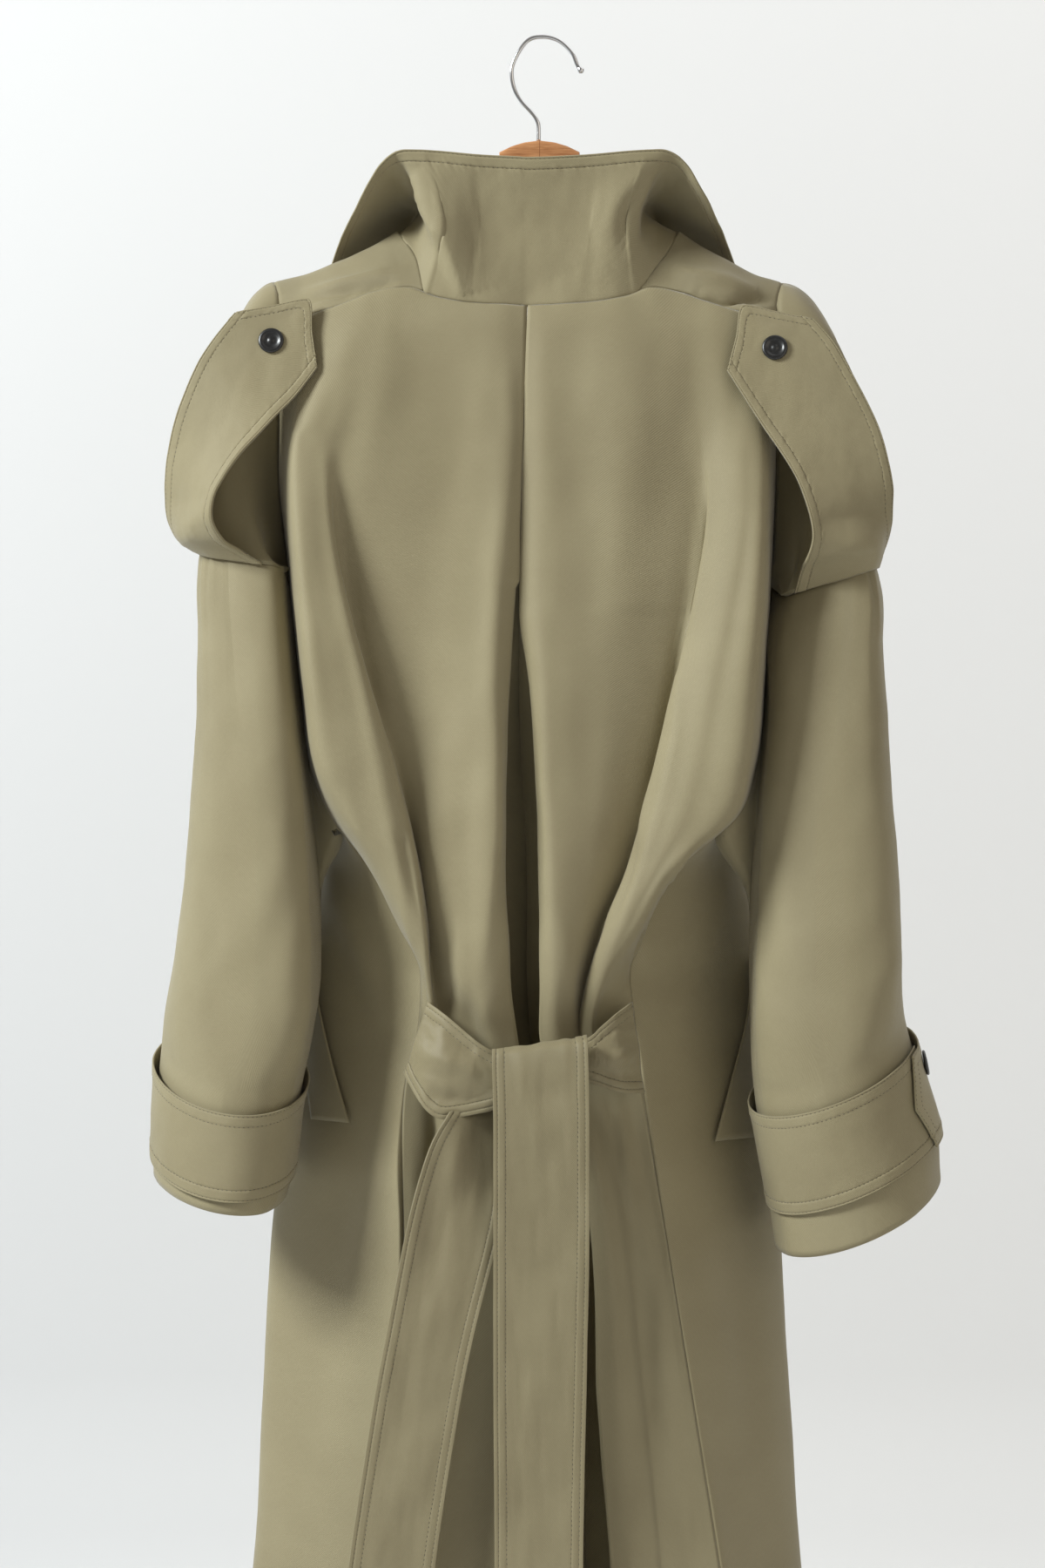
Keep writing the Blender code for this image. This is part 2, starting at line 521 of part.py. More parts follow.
def collar_side(side):
    """Lines from the neck seam to the free edge, from the middle of the back to the front corner."""
    back, front = BACKS[side], FRONTS[side]
    neck = np.concatenate([back[0, LIP_COLUMN:NECK_COLUMN + 1], front[1:NECK_ROWS, 0]])
    inside = np.concatenate([back[1, LIP_COLUMN:NECK_COLUMN + 1], front[1:NECK_ROWS, 1]])
    foot, inside = (resample(edge, COLLAR_STATIONS) for edge in (neck, inside))
    table_rows = range(len(COLLAR["mid_x"]))
    places = np.linspace(0, table_rows[-1], COLLAR_STATIONS)
    read = {name: smooth(places, table_rows, values) for name, values in COLLAR.items()}
    lines = []
    for k, start in enumerate(foot):
        middle = (COLLAR_MIDDLE + side * read["mid_x"][k], read["mid_y"][k], read["mid_z"][k])
        edge = (COLLAR_MIDDLE + side * read["top_x"][k], read["top_y"][k], read["top_z"][k])
        lines.append(through([start, middle, edge], (2, 2)))
    grid = np.array(lines)
    room = 1.0 + 2 * np.minimum(seam_room(foot, grid[:, 1], inside), 4)
    return drawn_in(grid, first_column=room)


COLLAR_GRID = np.concatenate([collar_side(LEFT)[::-1], collar_side(RIGHT)])
cloth("collar", COLLAR_GRID, gabardine)


# ---- the shoulder straps: each buttoned on the shoulder and sewn into the cross seam ----
def strap(side):
    table = STRAP[side]
    outer = np.stack([table["outer_x"], table["outer_y"], table["outer_z"]], axis=-1).astype(float)
    inner = np.stack([table["inner_x"], table["inner_y"], table["inner_z"]], axis=-1).astype(float)
    outer, inner = (through(edge, [2] * (len(edge) - 1)) for edge in (outer, inner))
    lines = [outer + (inner - outer) * t for t in (0, 0.25, 0.5, 0.75, 1)]
    grid = np.stack(lines, axis=1)
    tip = np.array(STRAP_TIP[side], float)
    reach = tip - grid[0, 2]
    for k, pull in enumerate((1, 0.45, 0.15)):
        grid[k, 2] += reach * pull
        grid[k, 1] += reach * pull / 2
        grid[k, 3] += reach * pull / 2
    seam_z = float(SLEEVE[side]["z"][0]) - 1.5
    out = (CLOTH + STRAP_CLOTH) / 2 + 2 * LAY
    end = ring_point(side, np.radians(np.linspace(*STRAP_END[side], 5)), seam_z, out)
    for k, pull in ((-2, 1.0), (-3, 0.8), (-4, 0.5), (-5, 0.2)):
        flat = grid[k, 0] + np.outer(np.linspace(0, 1, 5), grid[k, -1] - grid[k, 0])
        bow = end - (end[0] + np.outer(np.linspace(0, 1, 5), end[-1] - end[0]))
        grid[k] = flat + bow * pull
    grid[-1] = end
    return grid


STRAPS = {side: strap(side) for side in (LEFT, RIGHT)}
for side, name in SIDE_NAMES.items():
    cloth(f"strap_{name}", STRAPS[side], gabardine, STRAP_CLOTH)


# ---- the belt: two ends sewn into the side seams, tied in the middle, and two tails ----
def belt_end(side):
    table = BELT[side]
    top = np.stack([table["x_top"], table["y"], table["z_top"]], axis=-1).astype(float)
    low = np.stack([table["x_low"], table["y"], table["z_low"]], axis=-1).astype(float)
    top, low = (through(edge, [2] * (len(edge) - 1)) for edge in (top, low))
    return np.array([top + (low - top) * t - [0, 3 * math.sin(math.pi * t), 0] for t in (0, 0.33, 0.67, 1)])


def tail(table, steps):
    left = through(np.stack([table["left"], table["y"], table["z"]], axis=-1), steps)
    right = through(np.stack([table["right"], table["y"], table["z"]], axis=-1), steps)
    return np.stack([left + (right - left) * t for t in (0, 0.33, 0.67, 1)], axis=1)


for side, name in SIDE_NAMES.items():
    cloth(f"belt_{name}", belt_end(side), belting, STRAP_CLOTH)
cloth("belt_tail_front", tail(TAIL_FRONT, (1, 2, 2, 1, 1, 1, 1, 1)), belting, STRAP_CLOTH)
cloth("belt_tail_rear", tail(TAIL_REAR, (1, 1, 1, 1, 1, 1, 1)), belting, STRAP_CLOTH)


# ---- the pocket welts: a folded band on each side panel ----
FLANK_COLUMN = -1 - FRONT_STEPS[-1]


def side_panel_point(side, z, share):
    """A point of the side panel between the back's side seam and the flank, moved out by the wall."""
    rows = FRONTS[side][len(FRONT_ROWS) + 1:]
    line = np.array([[np.interp(-z, -rows[:, column, 2], rows[:, column, axis]) for axis in range(3)]
                     for column in range(FLANK_COLUMN - 1, 0)])[::-1]
    run = np.linspace(0, 1, FRONT_STEPS[-1] + 1)
    point = np.array([np.interp(share, run, line[:len(run), axis]) for axis in range(3)])
    way = line[len(run) - 1] - line[0]
    out = np.array([side * way[1], -abs(way[0]), 0.0])
    return point, out / np.linalg.norm(out)


def pocket_welt(side):
    table = POCKET[side]
    lines = []
    for z, near, far in zip(table["z"], table["near"], table["far"]):
        lines.append([point + (CLOTH + LAY + 0.6) * out
                      for point, out in (side_panel_point(side, z, s) for s in np.linspace(near, far, 3))])
    return np.array(lines)


for side, name in SIDE_NAMES.items():
    cloth(f"pocket_welt_{name}", pocket_welt(side), gabardine)


# ---- buttons: turned, with a rim ----
BUTTON_PROFILE = [(0, 0.2), (5.2, 0.2), (7.4, 1.0), (8.8, 1.0), (BUTTON_RADIUS, 0.2),
                  (BUTTON_RADIUS, -1.0), (8.0, -BUTTON_THICK / 2), (0, -BUTTON_THICK / 2)]


def button(name, centre, out, wall):
    """A button whose back lies on the cloth at the given point, facing the given way."""
    mesh = bpy.data.meshes.new(name)
    points = [(r * MM, 0, (h + 0.3) * MM) for r, h in BUTTON_PROFILE]
    mesh.from_pydata(points, [(k, k + 1) for k in range(len(points) - 1)], [])
    thing = place(name, mesh, horn)
    turn = thing.modifiers.new("turn", "SCREW")
    turn.axis = "Z"
    turn.steps = turn.render_steps = 20
    turn.use_merge_vertices = True
    turn.merge_threshold = 0.00001
    away = wall / 2 + LAY + BUTTON_THICK / 2
    thing.location = (np.asarray(centre) + away * np.asarray(out)) * MM
    thing.rotation_euler = Vector(out).to_track_quat("Z", "Y").to_euler()
    return thing


for side, name in SIDE_NAMES.items():
    grid = STRAPS[side]
    x, z = STRAP_BUTTON[side]
    away = np.linalg.norm(grid[..., [0, 2]] - [x, z], axis=-1)
    near = np.unravel_index(np.argmin(away), away.shape)
    out = normals(grid)[near]
    out = out if out[1] < 0 else -out
    centre = grid[near] + [x - grid[near][0], 0, z - grid[near][2]]
    centre[1] -= ((centre - grid[near]) @ out) / out[1]
    button(f"strap_button_{name}", centre, out, STRAP_CLOTH)

for side, name in SIDE_NAMES.items():
    grid = CUFFS[side]
    k = int(CUFF_STEPS * 0.955)
    centre = (grid[1, k] + grid[2, k]) / 2
    out = normals(grid)[1, k]
    middle = ring_point(side, np.radians([0.0, 180.0]), float(np.mean(CUFF_STRAP[side]))).mean(axis=0)
    out = out if (centre - middle) @ out > 0 else -out
    button(f"cuff_button_{name}", centre, out, CLOTH)


# ---- the hanger: a bow of two halves and a wire hook ----
def shoulder_height(side, x):
    """The height of the coat's shoulder line, which goes on at the same slope past the armhole."""
    ridge = FRONTS[side][2]
    across, height = np.abs(ridge[:, 0]), ridge[:, 2]
    slope = (height[-1] - height[0]) / (across[-1] - across[0])
    return float(np.interp(x, across, height)) + slope * max(0.0, x - across[-1])


def arm_top(side, x):
    """Straight from the block to the collar, then under the shoulder."""
    block = HANGER["block"]
    if x <= HANGER["x"][len(block) - 1]:
        return float(np.interp(x, HANGER["x"][:len(block)], block))
    start, collar_z = HANGER["x"][len(block) - 1], shoulder_height(side, SHOULDER_START) - ARM_CLEARANCE
    if x < SHOULDER_START:
        return float(np.interp(x, [start, SHOULDER_START], [block[-1], collar_z]))
    return shoulder_height(side, x) - ARM_CLEARANCE


def hanger_section(x, side):
    top = arm_top(side, x) - smooth(x, HANGER["x"], HANGER["drop"])
    tall, deep, square = (smooth(x, HANGER["x"], HANGER[name]) for name in ("tall", "deep", "square"))
    angles = np.radians(np.arange(0, 360, 30) + 15)
    c, s = np.cos(angles), np.sin(angles)
    return np.stack([np.full(12, side * x),
                     deep * np.sign(c) * np.abs(c) ** (2 / square),
                     top - tall + tall * np.sign(s) * np.abs(s) ** (2 / square)], axis=-1)


stations = [(x, LEFT) for x in HANGER["x"][:0:-1]] + [(x, RIGHT) for x in HANGER["x"]]
rings = np.array([hanger_section(x, side) for x, side in stations])
count = rings.shape[1]
faces = [(i * count + j, i * count + (j + 1) % count, (i + 1) * count + (j + 1) % count, (i + 1) * count + j)
         for i in range(len(rings) - 1) for j in range(count)]
faces += [tuple(range(count))[::-1], tuple((len(rings) - 1) * count + j for j in range(count))]
bow = bpy.data.meshes.new("hanger_wood")
bow.from_pydata([tuple(p) for p in rings.reshape(-1, 3) * MM], [], faces)
place("hanger_wood", bow, beech)

line = through(np.stack([HOOK_X, np.zeros(len(HOOK_X)), HOOK_Z], axis=-1), [3] * (len(HOOK_X) - 1))
curve = bpy.data.curves.new("hanger_hook", "CURVE")
curve.dimensions = "3D"
curve.bevel_depth = HOOK_WIRE / 2 * MM
curve.bevel_resolution = 2
curve.use_fill_caps = True
spline = curve.splines.new("POLY")
spline.points.add(len(line) - 1)
for k, point in enumerate(line):
    spline.points[k].co = (*(point * MM), 1)
    spline.points[k].radius = BALL_SWELL[k] if k < len(BALL_SWELL) else 1.0
place("hanger_hook", curve, chrome)
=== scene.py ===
"""A long kimono coat in cotton gabardine, hung on a wooden coat hanger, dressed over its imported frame."""
import math

import bpy
import numpy as np
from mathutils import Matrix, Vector, noise


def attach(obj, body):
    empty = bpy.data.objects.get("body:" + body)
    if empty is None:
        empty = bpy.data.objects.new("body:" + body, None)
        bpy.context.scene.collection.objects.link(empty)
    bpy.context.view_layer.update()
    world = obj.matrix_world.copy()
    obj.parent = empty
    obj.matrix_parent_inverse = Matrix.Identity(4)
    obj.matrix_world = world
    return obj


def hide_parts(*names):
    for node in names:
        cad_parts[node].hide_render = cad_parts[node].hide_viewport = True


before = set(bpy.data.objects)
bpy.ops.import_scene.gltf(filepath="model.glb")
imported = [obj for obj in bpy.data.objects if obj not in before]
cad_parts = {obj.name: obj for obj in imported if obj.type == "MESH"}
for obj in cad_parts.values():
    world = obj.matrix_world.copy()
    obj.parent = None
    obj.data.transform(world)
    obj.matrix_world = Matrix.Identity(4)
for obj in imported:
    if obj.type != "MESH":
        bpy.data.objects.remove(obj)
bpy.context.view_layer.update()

# ---- The hanger's bow ----
# Two halves of reddish beech, sawn with a wider block in the middle, glued along the
# middle where their grain meets at an angle, sanded and varnished.
MM = 0.001
LEFT, RIGHT = -1, 1
SIDES = {LEFT: "left", RIGHT: "right"}


class Tone:
    """A shader socket that takes part in Python expressions."""

    def __init__(self, tree, socket):
        self.tree, self.socket = tree, socket

    def node(self, kind, inputs, output=0, **settings):
        made = self.tree.nodes.new("ShaderNode" + kind)
        for name, value in settings.items():
            setattr(made, name, value)
        for name, value in inputs.items():
            if isinstance(value, Tone):
                self.tree.links.new(value.socket, made.inputs[name])
            else:
                made.inputs[name].default_value = value
        return Tone(self.tree, made.outputs[output])

    def math(self, operation, *values):
        return self.node("Math", dict(enumerate(values)), operation=operation)

    def parts(self):
        """The x, y and z of these coordinates."""
        return [self.node("SeparateXYZ", {"Vector": self}, axis) for axis in range(3)]

    def speckle(self, scale, detail=2.0, **more):
        """Noise read at these coordinates."""
        return self.node("TexNoise", {"Vector": self, "Scale": scale, "Detail": detail, **more})

    def stretched(self, x, y, z, turn=(0, 0, 0)):
        """These coordinates, turned and stretched."""
        return self.node("Mapping", {"Vector": self, "Scale": (x, y, z), "Rotation": turn})

    def between(self, low, high):
        """This mask as a mix of two colours."""
        return self.node("Mix", {"Factor": self, "A": (*low, 1), "B": (*high, 1)}, "Result", data_type="RGBA")


for sign, operation in (("add", "ADD"), ("sub", "SUBTRACT"), ("mul", "MULTIPLY")):
    setattr(Tone, f"__{sign}__", lambda self, other, kind=operation: self.math(kind, self, other))
    setattr(Tone, f"__r{sign}__", lambda self, other, kind=operation: self.math(kind, other, self))


def finish_of(name, weave=None, **sockets):
    """A material, its shader's inputs and the coordinates of its surface, in metres."""
    made = bpy.data.materials.new(name)
    made.use_nodes = True
    tree = made.node_tree
    inputs = tree.nodes["Principled BSDF"].inputs
    for socket, value in sockets.items():
        inputs[socket.replace("_", " ")].default_value = value
    start = tree.nodes.new("ShaderNodeUVMap" if weave else "ShaderNodeTexCoord")
    if weave:
        start.uv_map = weave
    return made, inputs, Tone(tree, start.outputs["UV" if weave else "Object"])


def paint(inputs, **sockets):
    """Links what changes over the surface into its shader."""
    for socket, tone in sockets.items():
        tone.tree.links.new(tone.socket, inputs[socket.replace("_", " ")])


def mesh_of(name, points, faces, finish):
    """A smooth mesh, from points in millimetres."""
    mesh = bpy.data.meshes.new(name)
    mesh.from_pydata([tuple(p) for p in np.asarray(points) * MM], [], faces)
    mesh.shade_smooth()
    mesh.materials.append(finish)
    thing = bpy.data.objects.new(name, mesh)
    bpy.context.scene.collection.objects.link(thing)
    return thing


def piece(name, points, faces, finish, slot, *nodes):
    """A piece that rides on the coat's one body and stands for its solids."""
    thing = mesh_of(name, points, faces, finish)
    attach(thing, "root")
    if nodes:
        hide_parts(*nodes)
    return thing


def loft_faces(rows, columns, wrap=False, caps=False):
    """The quads between rows of points."""
    faces = [(i * columns + j, i * columns + (j + 1) % columns,
              (i + 1) * columns + (j + 1) % columns, (i + 1) * columns + j)
             for i in range(rows - 1) for j in range(columns if wrap else columns - 1)]
    if caps:
        faces += [tuple(range(columns))[::-1], tuple((rows - 1) * columns + j for j in range(columns))]
    return faces


def solid_points(node):
    """The points of one of the frame's solids, in millimetres."""
    return np.array([v.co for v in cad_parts[node].data.vertices]) / MM


BEECH_STOPS = [(0.38, (0.30, 0.115, 0.04)), (0.72, (0.60, 0.29, 0.125)), (0.55, (0.47, 0.205, 0.08))]
GRAIN_TURN = (0, 0.5, 0.12)
beech, beech_in, wood = finish_of("varnished_beech", Roughness=0.38, Coat_Weight=0.25, Coat_Roughness=0.2)
x, y, z = wood.parts()
x = x.math("ABSOLUTE", x)
halves = x.node("CombineXYZ", {"X": x, "Y": y, "Z": z})
grain = halves.stretched(60, 420, 900, GRAIN_TURN).speckle(1.0, 5.0, Distortion=0.7)
pores = halves.stretched(220, 900, 2600, GRAIN_TURN).speckle(1.0, 2.0)
joint = x.math("LESS_THAN", x, 0.0003)
mask = grain * 0.75 + pores * 0.15 + wood.speckle(45.0, 2.0) * 0.35 - joint * 0.3
browns = mask.node("ValToRGB", {"Fac": mask})
ramp = browns.socket.node.color_ramp.elements
for k, (at, colour) in enumerate(BEECH_STOPS):
    stop = ramp[k] if k < 2 else ramp.new(at)
    stop.position, stop.color = at, (*colour, 1)
paint(beech_in, Base_Color=browns, Roughness=0.3 + 0.2 * pores,
      Normal=pores.node("Bump", {"Height": pores, "Strength": 0.25, "Distance": 0.0003}))

BOW_SIDES = 32
ARM_END, BLOCK_END = 188, 36    # out from the hanger's middle
BLOCK_EDGE = ((35, 33.0), (30, 32.2))    # where the solid's block ends, and where it is drawn, steeper
bow_points = solid_points("hanger_wood")
bow_x = np.unique(np.round(bow_points[:, 0], 1))
stations = [bow_points[np.abs(bow_points[:, 0] - x) < 0.06] for x in bow_x]
bow_top, bow_low = (np.array([pick(s[:, 2]) for s in stations]) for pick in (np.max, np.min))
bow_deep = np.array([np.abs(s[:, 1]).max() for s in stations])
for solid_at, drawn_at in BLOCK_EDGE:
    bow_x = np.where(np.abs(np.abs(bow_x) - solid_at) < 1, np.sign(bow_x) * drawn_at, bow_x)
across = np.unique(np.concatenate([np.arange(-ARM_END, ARM_END + 1, 3.0), np.linspace(29.5, 35.5, 9),
                                   np.linspace(-35.5, -29.5, 9)]))
across = across[(across >= bow_x[0]) & (across <= bow_x[-1])]
turn = np.radians((np.arange(BOW_SIDES) + 0.5) * 360 / BOW_SIDES)
c, s = np.cos(turn), np.sin(turn)
bow = []
for x in across:
    top, low, deep = (np.interp(x, bow_x, values) for values in (bow_top, bow_low, bow_deep))
    # The section is nearly square at the block and round along the arms, and it closes at the ends.
    square = 2 / (2.2 + 7.8 * np.clip((BLOCK_END - abs(x)) / 3, 0, 1))
    near_end = math.sqrt(np.clip((np.abs(across).max() + 0.6 - abs(x)) / 6, 0.05, 1))
    y = near_end * deep * np.sign(c) * np.abs(c) ** square
    z = (top + low) / 2 + near_end * (top - low) / 2 * np.sign(s) * np.abs(s) ** square
    bow.append(np.stack([np.full(BOW_SIDES, x), y, z], axis=-1))
faces = loft_faces(len(bow), BOW_SIDES, True, True)
piece("hanger_bow", np.concatenate(bow), faces, beech, "beech", "hanger_wood")


# ---- The hanger's hook ----
# One length of chromed steel wire, its end upset to a small ball, bent over a form and
# pushed into the block, in which it turns.
WIRE = 3.6
HOOK = dict(
    x=[34.5, 33.0, 29.9, 25.8, 15.6, 3.0, -8.6, -17.4, -22.3, -20.7, -15.2, -6.3, -1.9, -0.8, -0.8],
    y=[0] * 15,
    z=[-27.0, -24.9, -20.0, -10.9, -1.4, 1.9, -0.6, -11.6, -25.4, -37.5, -48.6, -58.5, -65.1, -71.8, -80.9],
)
BALL_RUN, BALL_SIZE = [0, 0.5, 1.4, 2.6, 4.0, 5.4, 7.0], [0.25, 0.9, 1.4, 1.6, 1.45, 1.05, 1.0]


def smooth(at, places, values):
    """A smooth curve through the table's values, read at the given places."""
    places, values = np.asarray(places, float), np.asarray(values, float)
    if places[0] > places[-1]:
        places, values = places[::-1], values[::-1]
    steps = np.diff(places)
    rises = np.diff(values) / steps
    between = (rises[:-1] + rises[1:]) / 2 * (rises[:-1] * rises[1:] > 0)
    slopes = np.concatenate([rises[:1], between, rises[-1:]])
    at = np.clip(np.asarray(at, float), places[0], places[-1])
    k = np.clip(np.searchsorted(places, at) - 1, 0, len(steps) - 1)
    t = (at - places[k]) / steps[k]
    return ((2 * t**3 - 3 * t**2 + 1) * values[k] + (t**3 - 2 * t**2 + t) * steps[k] * slopes[k]
            + (3 * t**2 - 2 * t**3) * values[k + 1] + (t**3 - t**2) * steps[k] * slopes[k + 1])


def through(points, counts):
    """A smooth line through points, with the given number of steps between each two."""
    points = np.asarray(points, float)
    places = [k + i / n for k, n in enumerate(counts) for i in range(n)] + [len(counts)]
    return np.stack([smooth(places, range(len(points)), column) for column in points.T], axis=-1)


def curve(table, columns, counts):
    """The smooth line through the points that three of a table's columns hold."""
    return through(np.stack([table[name] for name in columns], axis=-1), counts)


def unit(vectors):
    return vectors / np.maximum(np.linalg.norm(vectors, axis=-1, keepdims=True), 1e-9)


def lengths(line):
    """How far along a line each of its points is."""
    return np.concatenate([[0], np.cumsum(np.linalg.norm(np.diff(line[:, :3], axis=0), axis=1))])


chrome, chrome_in, metal = finish_of("chromed_wire", Base_Color=(0.78, 0.78, 0.79, 1), Metallic=1.0)
paint(chrome_in, Roughness=0.08 + 0.14 * metal.stretched(1, 1, 3).speckle(900.0))
wire = curve(HOOK, "xyz", [8] * 14)
way = unit(np.gradient(wire, axis=0))
flank = way[:, ::-1] * [-1, 0, 1]
swell = WIRE / 2 * np.interp(lengths(wire), BALL_RUN, BALL_SIZE)
turn = np.radians(np.arange(0, 360, 20))
rings = [p + r * (np.outer(np.cos(turn), f) + np.outer(np.sin(turn), (0, 1, 0)))
         for p, f, r in zip(wire, flank, swell)]
piece("hook_wire", np.concatenate(rings), loft_faces(len(rings), len(turn), True, True), chrome, "hook_wire",
      "hanger_hook")


# ---- The back: two panels ----
# Sage-khaki cotton gabardine, cut in two panels that are sewn together down to an inverted
# pleat, then drawn into folds by the belt. Seam allowances are pressed to the inside.
SHOULDER_DRIFT = -9.0  # the coat hangs this far to the left of the hanger's middle
HEM = -1430.0
WALL = 1.3
# Fold lines from the pleat outwards: its lip, the swell beside it, the foot of the swell, the
# valley under the big side fold, that fold's crest and top, its far edge, and the side seam.
FOLD_LINES = ("lip", "swell", "foot", "valley", "crest", "top", "edge", "seam")
BACK_ACROSS = {LEFT: dict(
    z=[-195, -270, -335, -395, -457, -518, -579, -620, -661, -702, -743, -783, -831, -967, -1205, -1430],
    lip=[-9, -11, -13, -16, -20, -23, -26, -27, -27, -26, -24, -19, -12, 14, 22, 26],
    swell=[-34, -30, -28, -31, -35, -37, -36, -36, -38, -41, -45, -38, -30, -8, -2, 0],
    foot=[-62, -62, -60, -56, -60, -68, -78, -82, -80, -74, -66, -52, -44, -36, -38, -44],
    valley=[-100, -120, -140, -150, -145, -129, -111, -102, -94, -88, -84, -76, -66, -70, -80, -94],
    crest=[-130, -150, -168, -164, -150, -133, -115, -106, -97, -91, -87, -82, -80, -84, -97, -118],
    top=[-155, -172, -186, -182, -172, -162, -150, -140, -118, -102, -89, -87, -90, -94, -106, -130],
    edge=[-182, -192, -197, -193, -187, -181, -172, -157, -129, -109, -91, -91, -99, -101, -116, -140],
    seam=[-202, -206, -206, -201, -195, -189, -181, -164, -132, -111, -93, -95, -106, -107, -125, -150],
), RIGHT: dict(
    z=[-195, -270, -335, -395, -457, -518, -579, -620, -661, -702, -743, -783, -831, -904, -1069, -1205,
       -1430],
    lip=[-9, -11, -13, -16, -16, -7, -4, -2, -1, 0, 0, -1, 12, 34, 45, 54, 66],
    swell=[10, 8, 8, 6, 5, 8, 8, 10, 11, 12, 12, 10, 24, 46, 60, 70, 84],
    foot=[50, 52, 54, 54, 52, 50, 48, 45, 39, 32, 25, 20, 34, 55, 75, 89, 107],
    valley=[85, 100, 116, 126, 117, 104, 90, 79, 67, 50, 37, 30, 44, 62, 82, 96, 118],
    crest=[110, 126, 134, 131, 120, 106, 92, 80, 69, 52, 39, 34, 50, 68, 90, 106, 128],
    top=[138, 152, 160, 158, 148, 136, 124, 112, 89, 67, 49, 40, 58, 76, 100, 118, 142],
    edge=[166, 176, 178, 176, 172, 167, 160, 147, 102, 79, 56, 47, 68, 84, 110, 129, 158],
    seam=[186, 187, 187, 185, 182, 178, 170, 154, 104, 84, 71, 75, 81, 92, 119, 141, 172],
)}
BACK_DEPTH = {LEFT: dict(
    lip=[-44, -56, -62, -65, -67, -69, -70, -71, -71, -70, -67, -63, -63, -66, -80, -90],
    swell=[-46, -60, -68, -74, -79, -84, -88, -90, -90, -86, -80, -70, -68, -70, -82, -90],
    foot=[-47, -60, -66, -69, -71, -72, -73, -74, -73, -71, -67, -62, -61, -65, -76, -84],
    valley=[-46, -59, -63, -64, -64, -63, -62, -60, -58, -56, -54, -56, -58, -62, -73, -81],
    crest=[-45, -60, -69, -76, -81, -84, -86, -87, -86, -82, -73, -60, -57, -61, -73, -81],
    top=[-42, -57, -70, -80, -86, -90, -91, -88, -83, -76, -66, -57, -56, -62, -75, -83],
    edge=[-36, -47, -58, -68, -75, -80, -80, -72, -66, -60, -56, -54, -56, -64, -76, -84],
    seam=[-28, -18, -10, -8, -8, -12, -24, -38, -42, -46, -50, -52, -56, -64, -77, -85],
), RIGHT: dict(
    lip=[-44, -56, -62, -65, -67, -70, -71, -72, -73, -73, -71, -66, -64, -66, -72, -80, -90],
    swell=[-46, -60, -67, -71, -75, -79, -81, -82, -83, -82, -78, -69, -67, -70, -76, -84, -94],
    foot=[-48, -61, -68, -72, -75, -77, -77, -77, -76, -74, -70, -64, -63, -66, -72, -80, -90],
    valley=[-46, -59, -62, -62, -61, -59, -57, -56, -55, -54, -53, -54, -60, -63, -70, -78, -87],
    crest=[-43, -57, -64, -68, -71, -73, -74, -75, -75, -74, -69, -60, -59, -62, -69, -77, -86],
    top=[-41, -55, -70, -81, -87, -91, -93, -94, -91, -85, -76, -62, -58, -61, -69, -76, -85],
    edge=[-36, -47, -62, -76, -85, -90, -92, -91, -88, -81, -70, -57, -56, -60, -69, -76, -85],
    seam=[-28, -18, -10, -8, -8, -12, -24, -38, -42, -46, -50, -52, -56, -60, -70, -77, -85],
)}
PLEAT_SHUT = -440.0  # above this height the pleat's two lips are sewn together
PLEAT = dict(
    z=[-195, -440, -500, -560, -661, -783, -831, -904, -1205, -1430],
    middle=[-9, -16, -16, -15, -10, -8, 0, 20, 36, 44],
    gap=[1.15, 1.15, 0.3, 0.3, 0.3, 0.3, 0.3, 0.3, 0.3, 0.3],
    depth=[5, 6, 24, 44, 56, 56, 54, 54, 56, 58],
    under=[0.2, 0.2, 5, 7, 9, 9, 9, 10, 12, 14],
)
BACK_TOP = dict(
    share=[0.0, 0.195, 0.33, 0.44, 0.74, 1.0],
    z=[-217, -215, -210, -202, -219, -236],
)
BACK_STEPS = (2, 6)  # across the pleat's fold, from its bottom to the lip
PANEL_STEPS = (7, 8, 10, 7, 9, 8, 8)
LIP = sum(BACK_STEPS)
# Lesser folds: each has its width on its left and right side, its height and how sharp its top
# is, and then the x and z of the points on the outside that it runs through.
BACK_FOLDS = {LEFT: [
    (26, 22, -3.5, 2, -60, -225, -70, -320, -84, -430, -92, -540),
    (18, 20, 2.5, 2, -112, -222, -128, -290, -140, -380),
    (5, 6, 4.5, 1.4, -168, -340, -159, -430, -139, -520, -113, -640, -90, -750),
    (4, 5, -4, 1.7, -160, -345, -150, -440, -130, -530, -104, -650, -84, -745),
    (14, 10, -3, 2, -52, -560, -56, -640, -54, -740),
    (8, 9, 3.5, 1.7, -30, -700, -36, -752, -48, -790),
    (7, 8, 3, 1.7, -60, -700, -60, -750, -66, -786),
    (6, 6, -8, 1.8, -84, -832, -83, -866, -88, -930),
    (14, 16, 3, 2, -100, -940, -112, -1100, -128, -1300),
    (12, 12, 4, 1.8, -66, -850, -70, -980, -76, -1150),
], RIGHT: [
    (18, 20, -3, 2, 24, -225, 30, -330, 38, -460, 44, -600, 30, -700),
    (22, 20, 3, 2, 64, -228, 72, -330, 66, -430),
    (18, 16, -2.5, 2, 112, -232, 124, -310, 122, -400),
    (7, 5, 3.6, 1.4, 132, -350, 120, -460, 104, -560, 76, -670, 44, -750),
    (5, 4, -3.6, 1.7, 124, -360, 111, -470, 95, -570, 67, -676, 36, -750),
    (6, 3, 7, 1.5, 118, -640, 100, -680, 84, -722, 72, -762),
    (5, 5, -7, 1.7, 104, -668, 88, -704, 73, -740, 62, -766),
    (8, 8, 3, 1.7, 16, -700, 22, -752, 28, -790),
    (7, 6, 3, 1.8, 60, -846, 66, -880, 72, -930),
    (14, 14, 2.5, 2, 70, -880, 96, -1000, 112, -1180),
]}


def row(table, name, z):
    return smooth(z, table["z"], table[name])


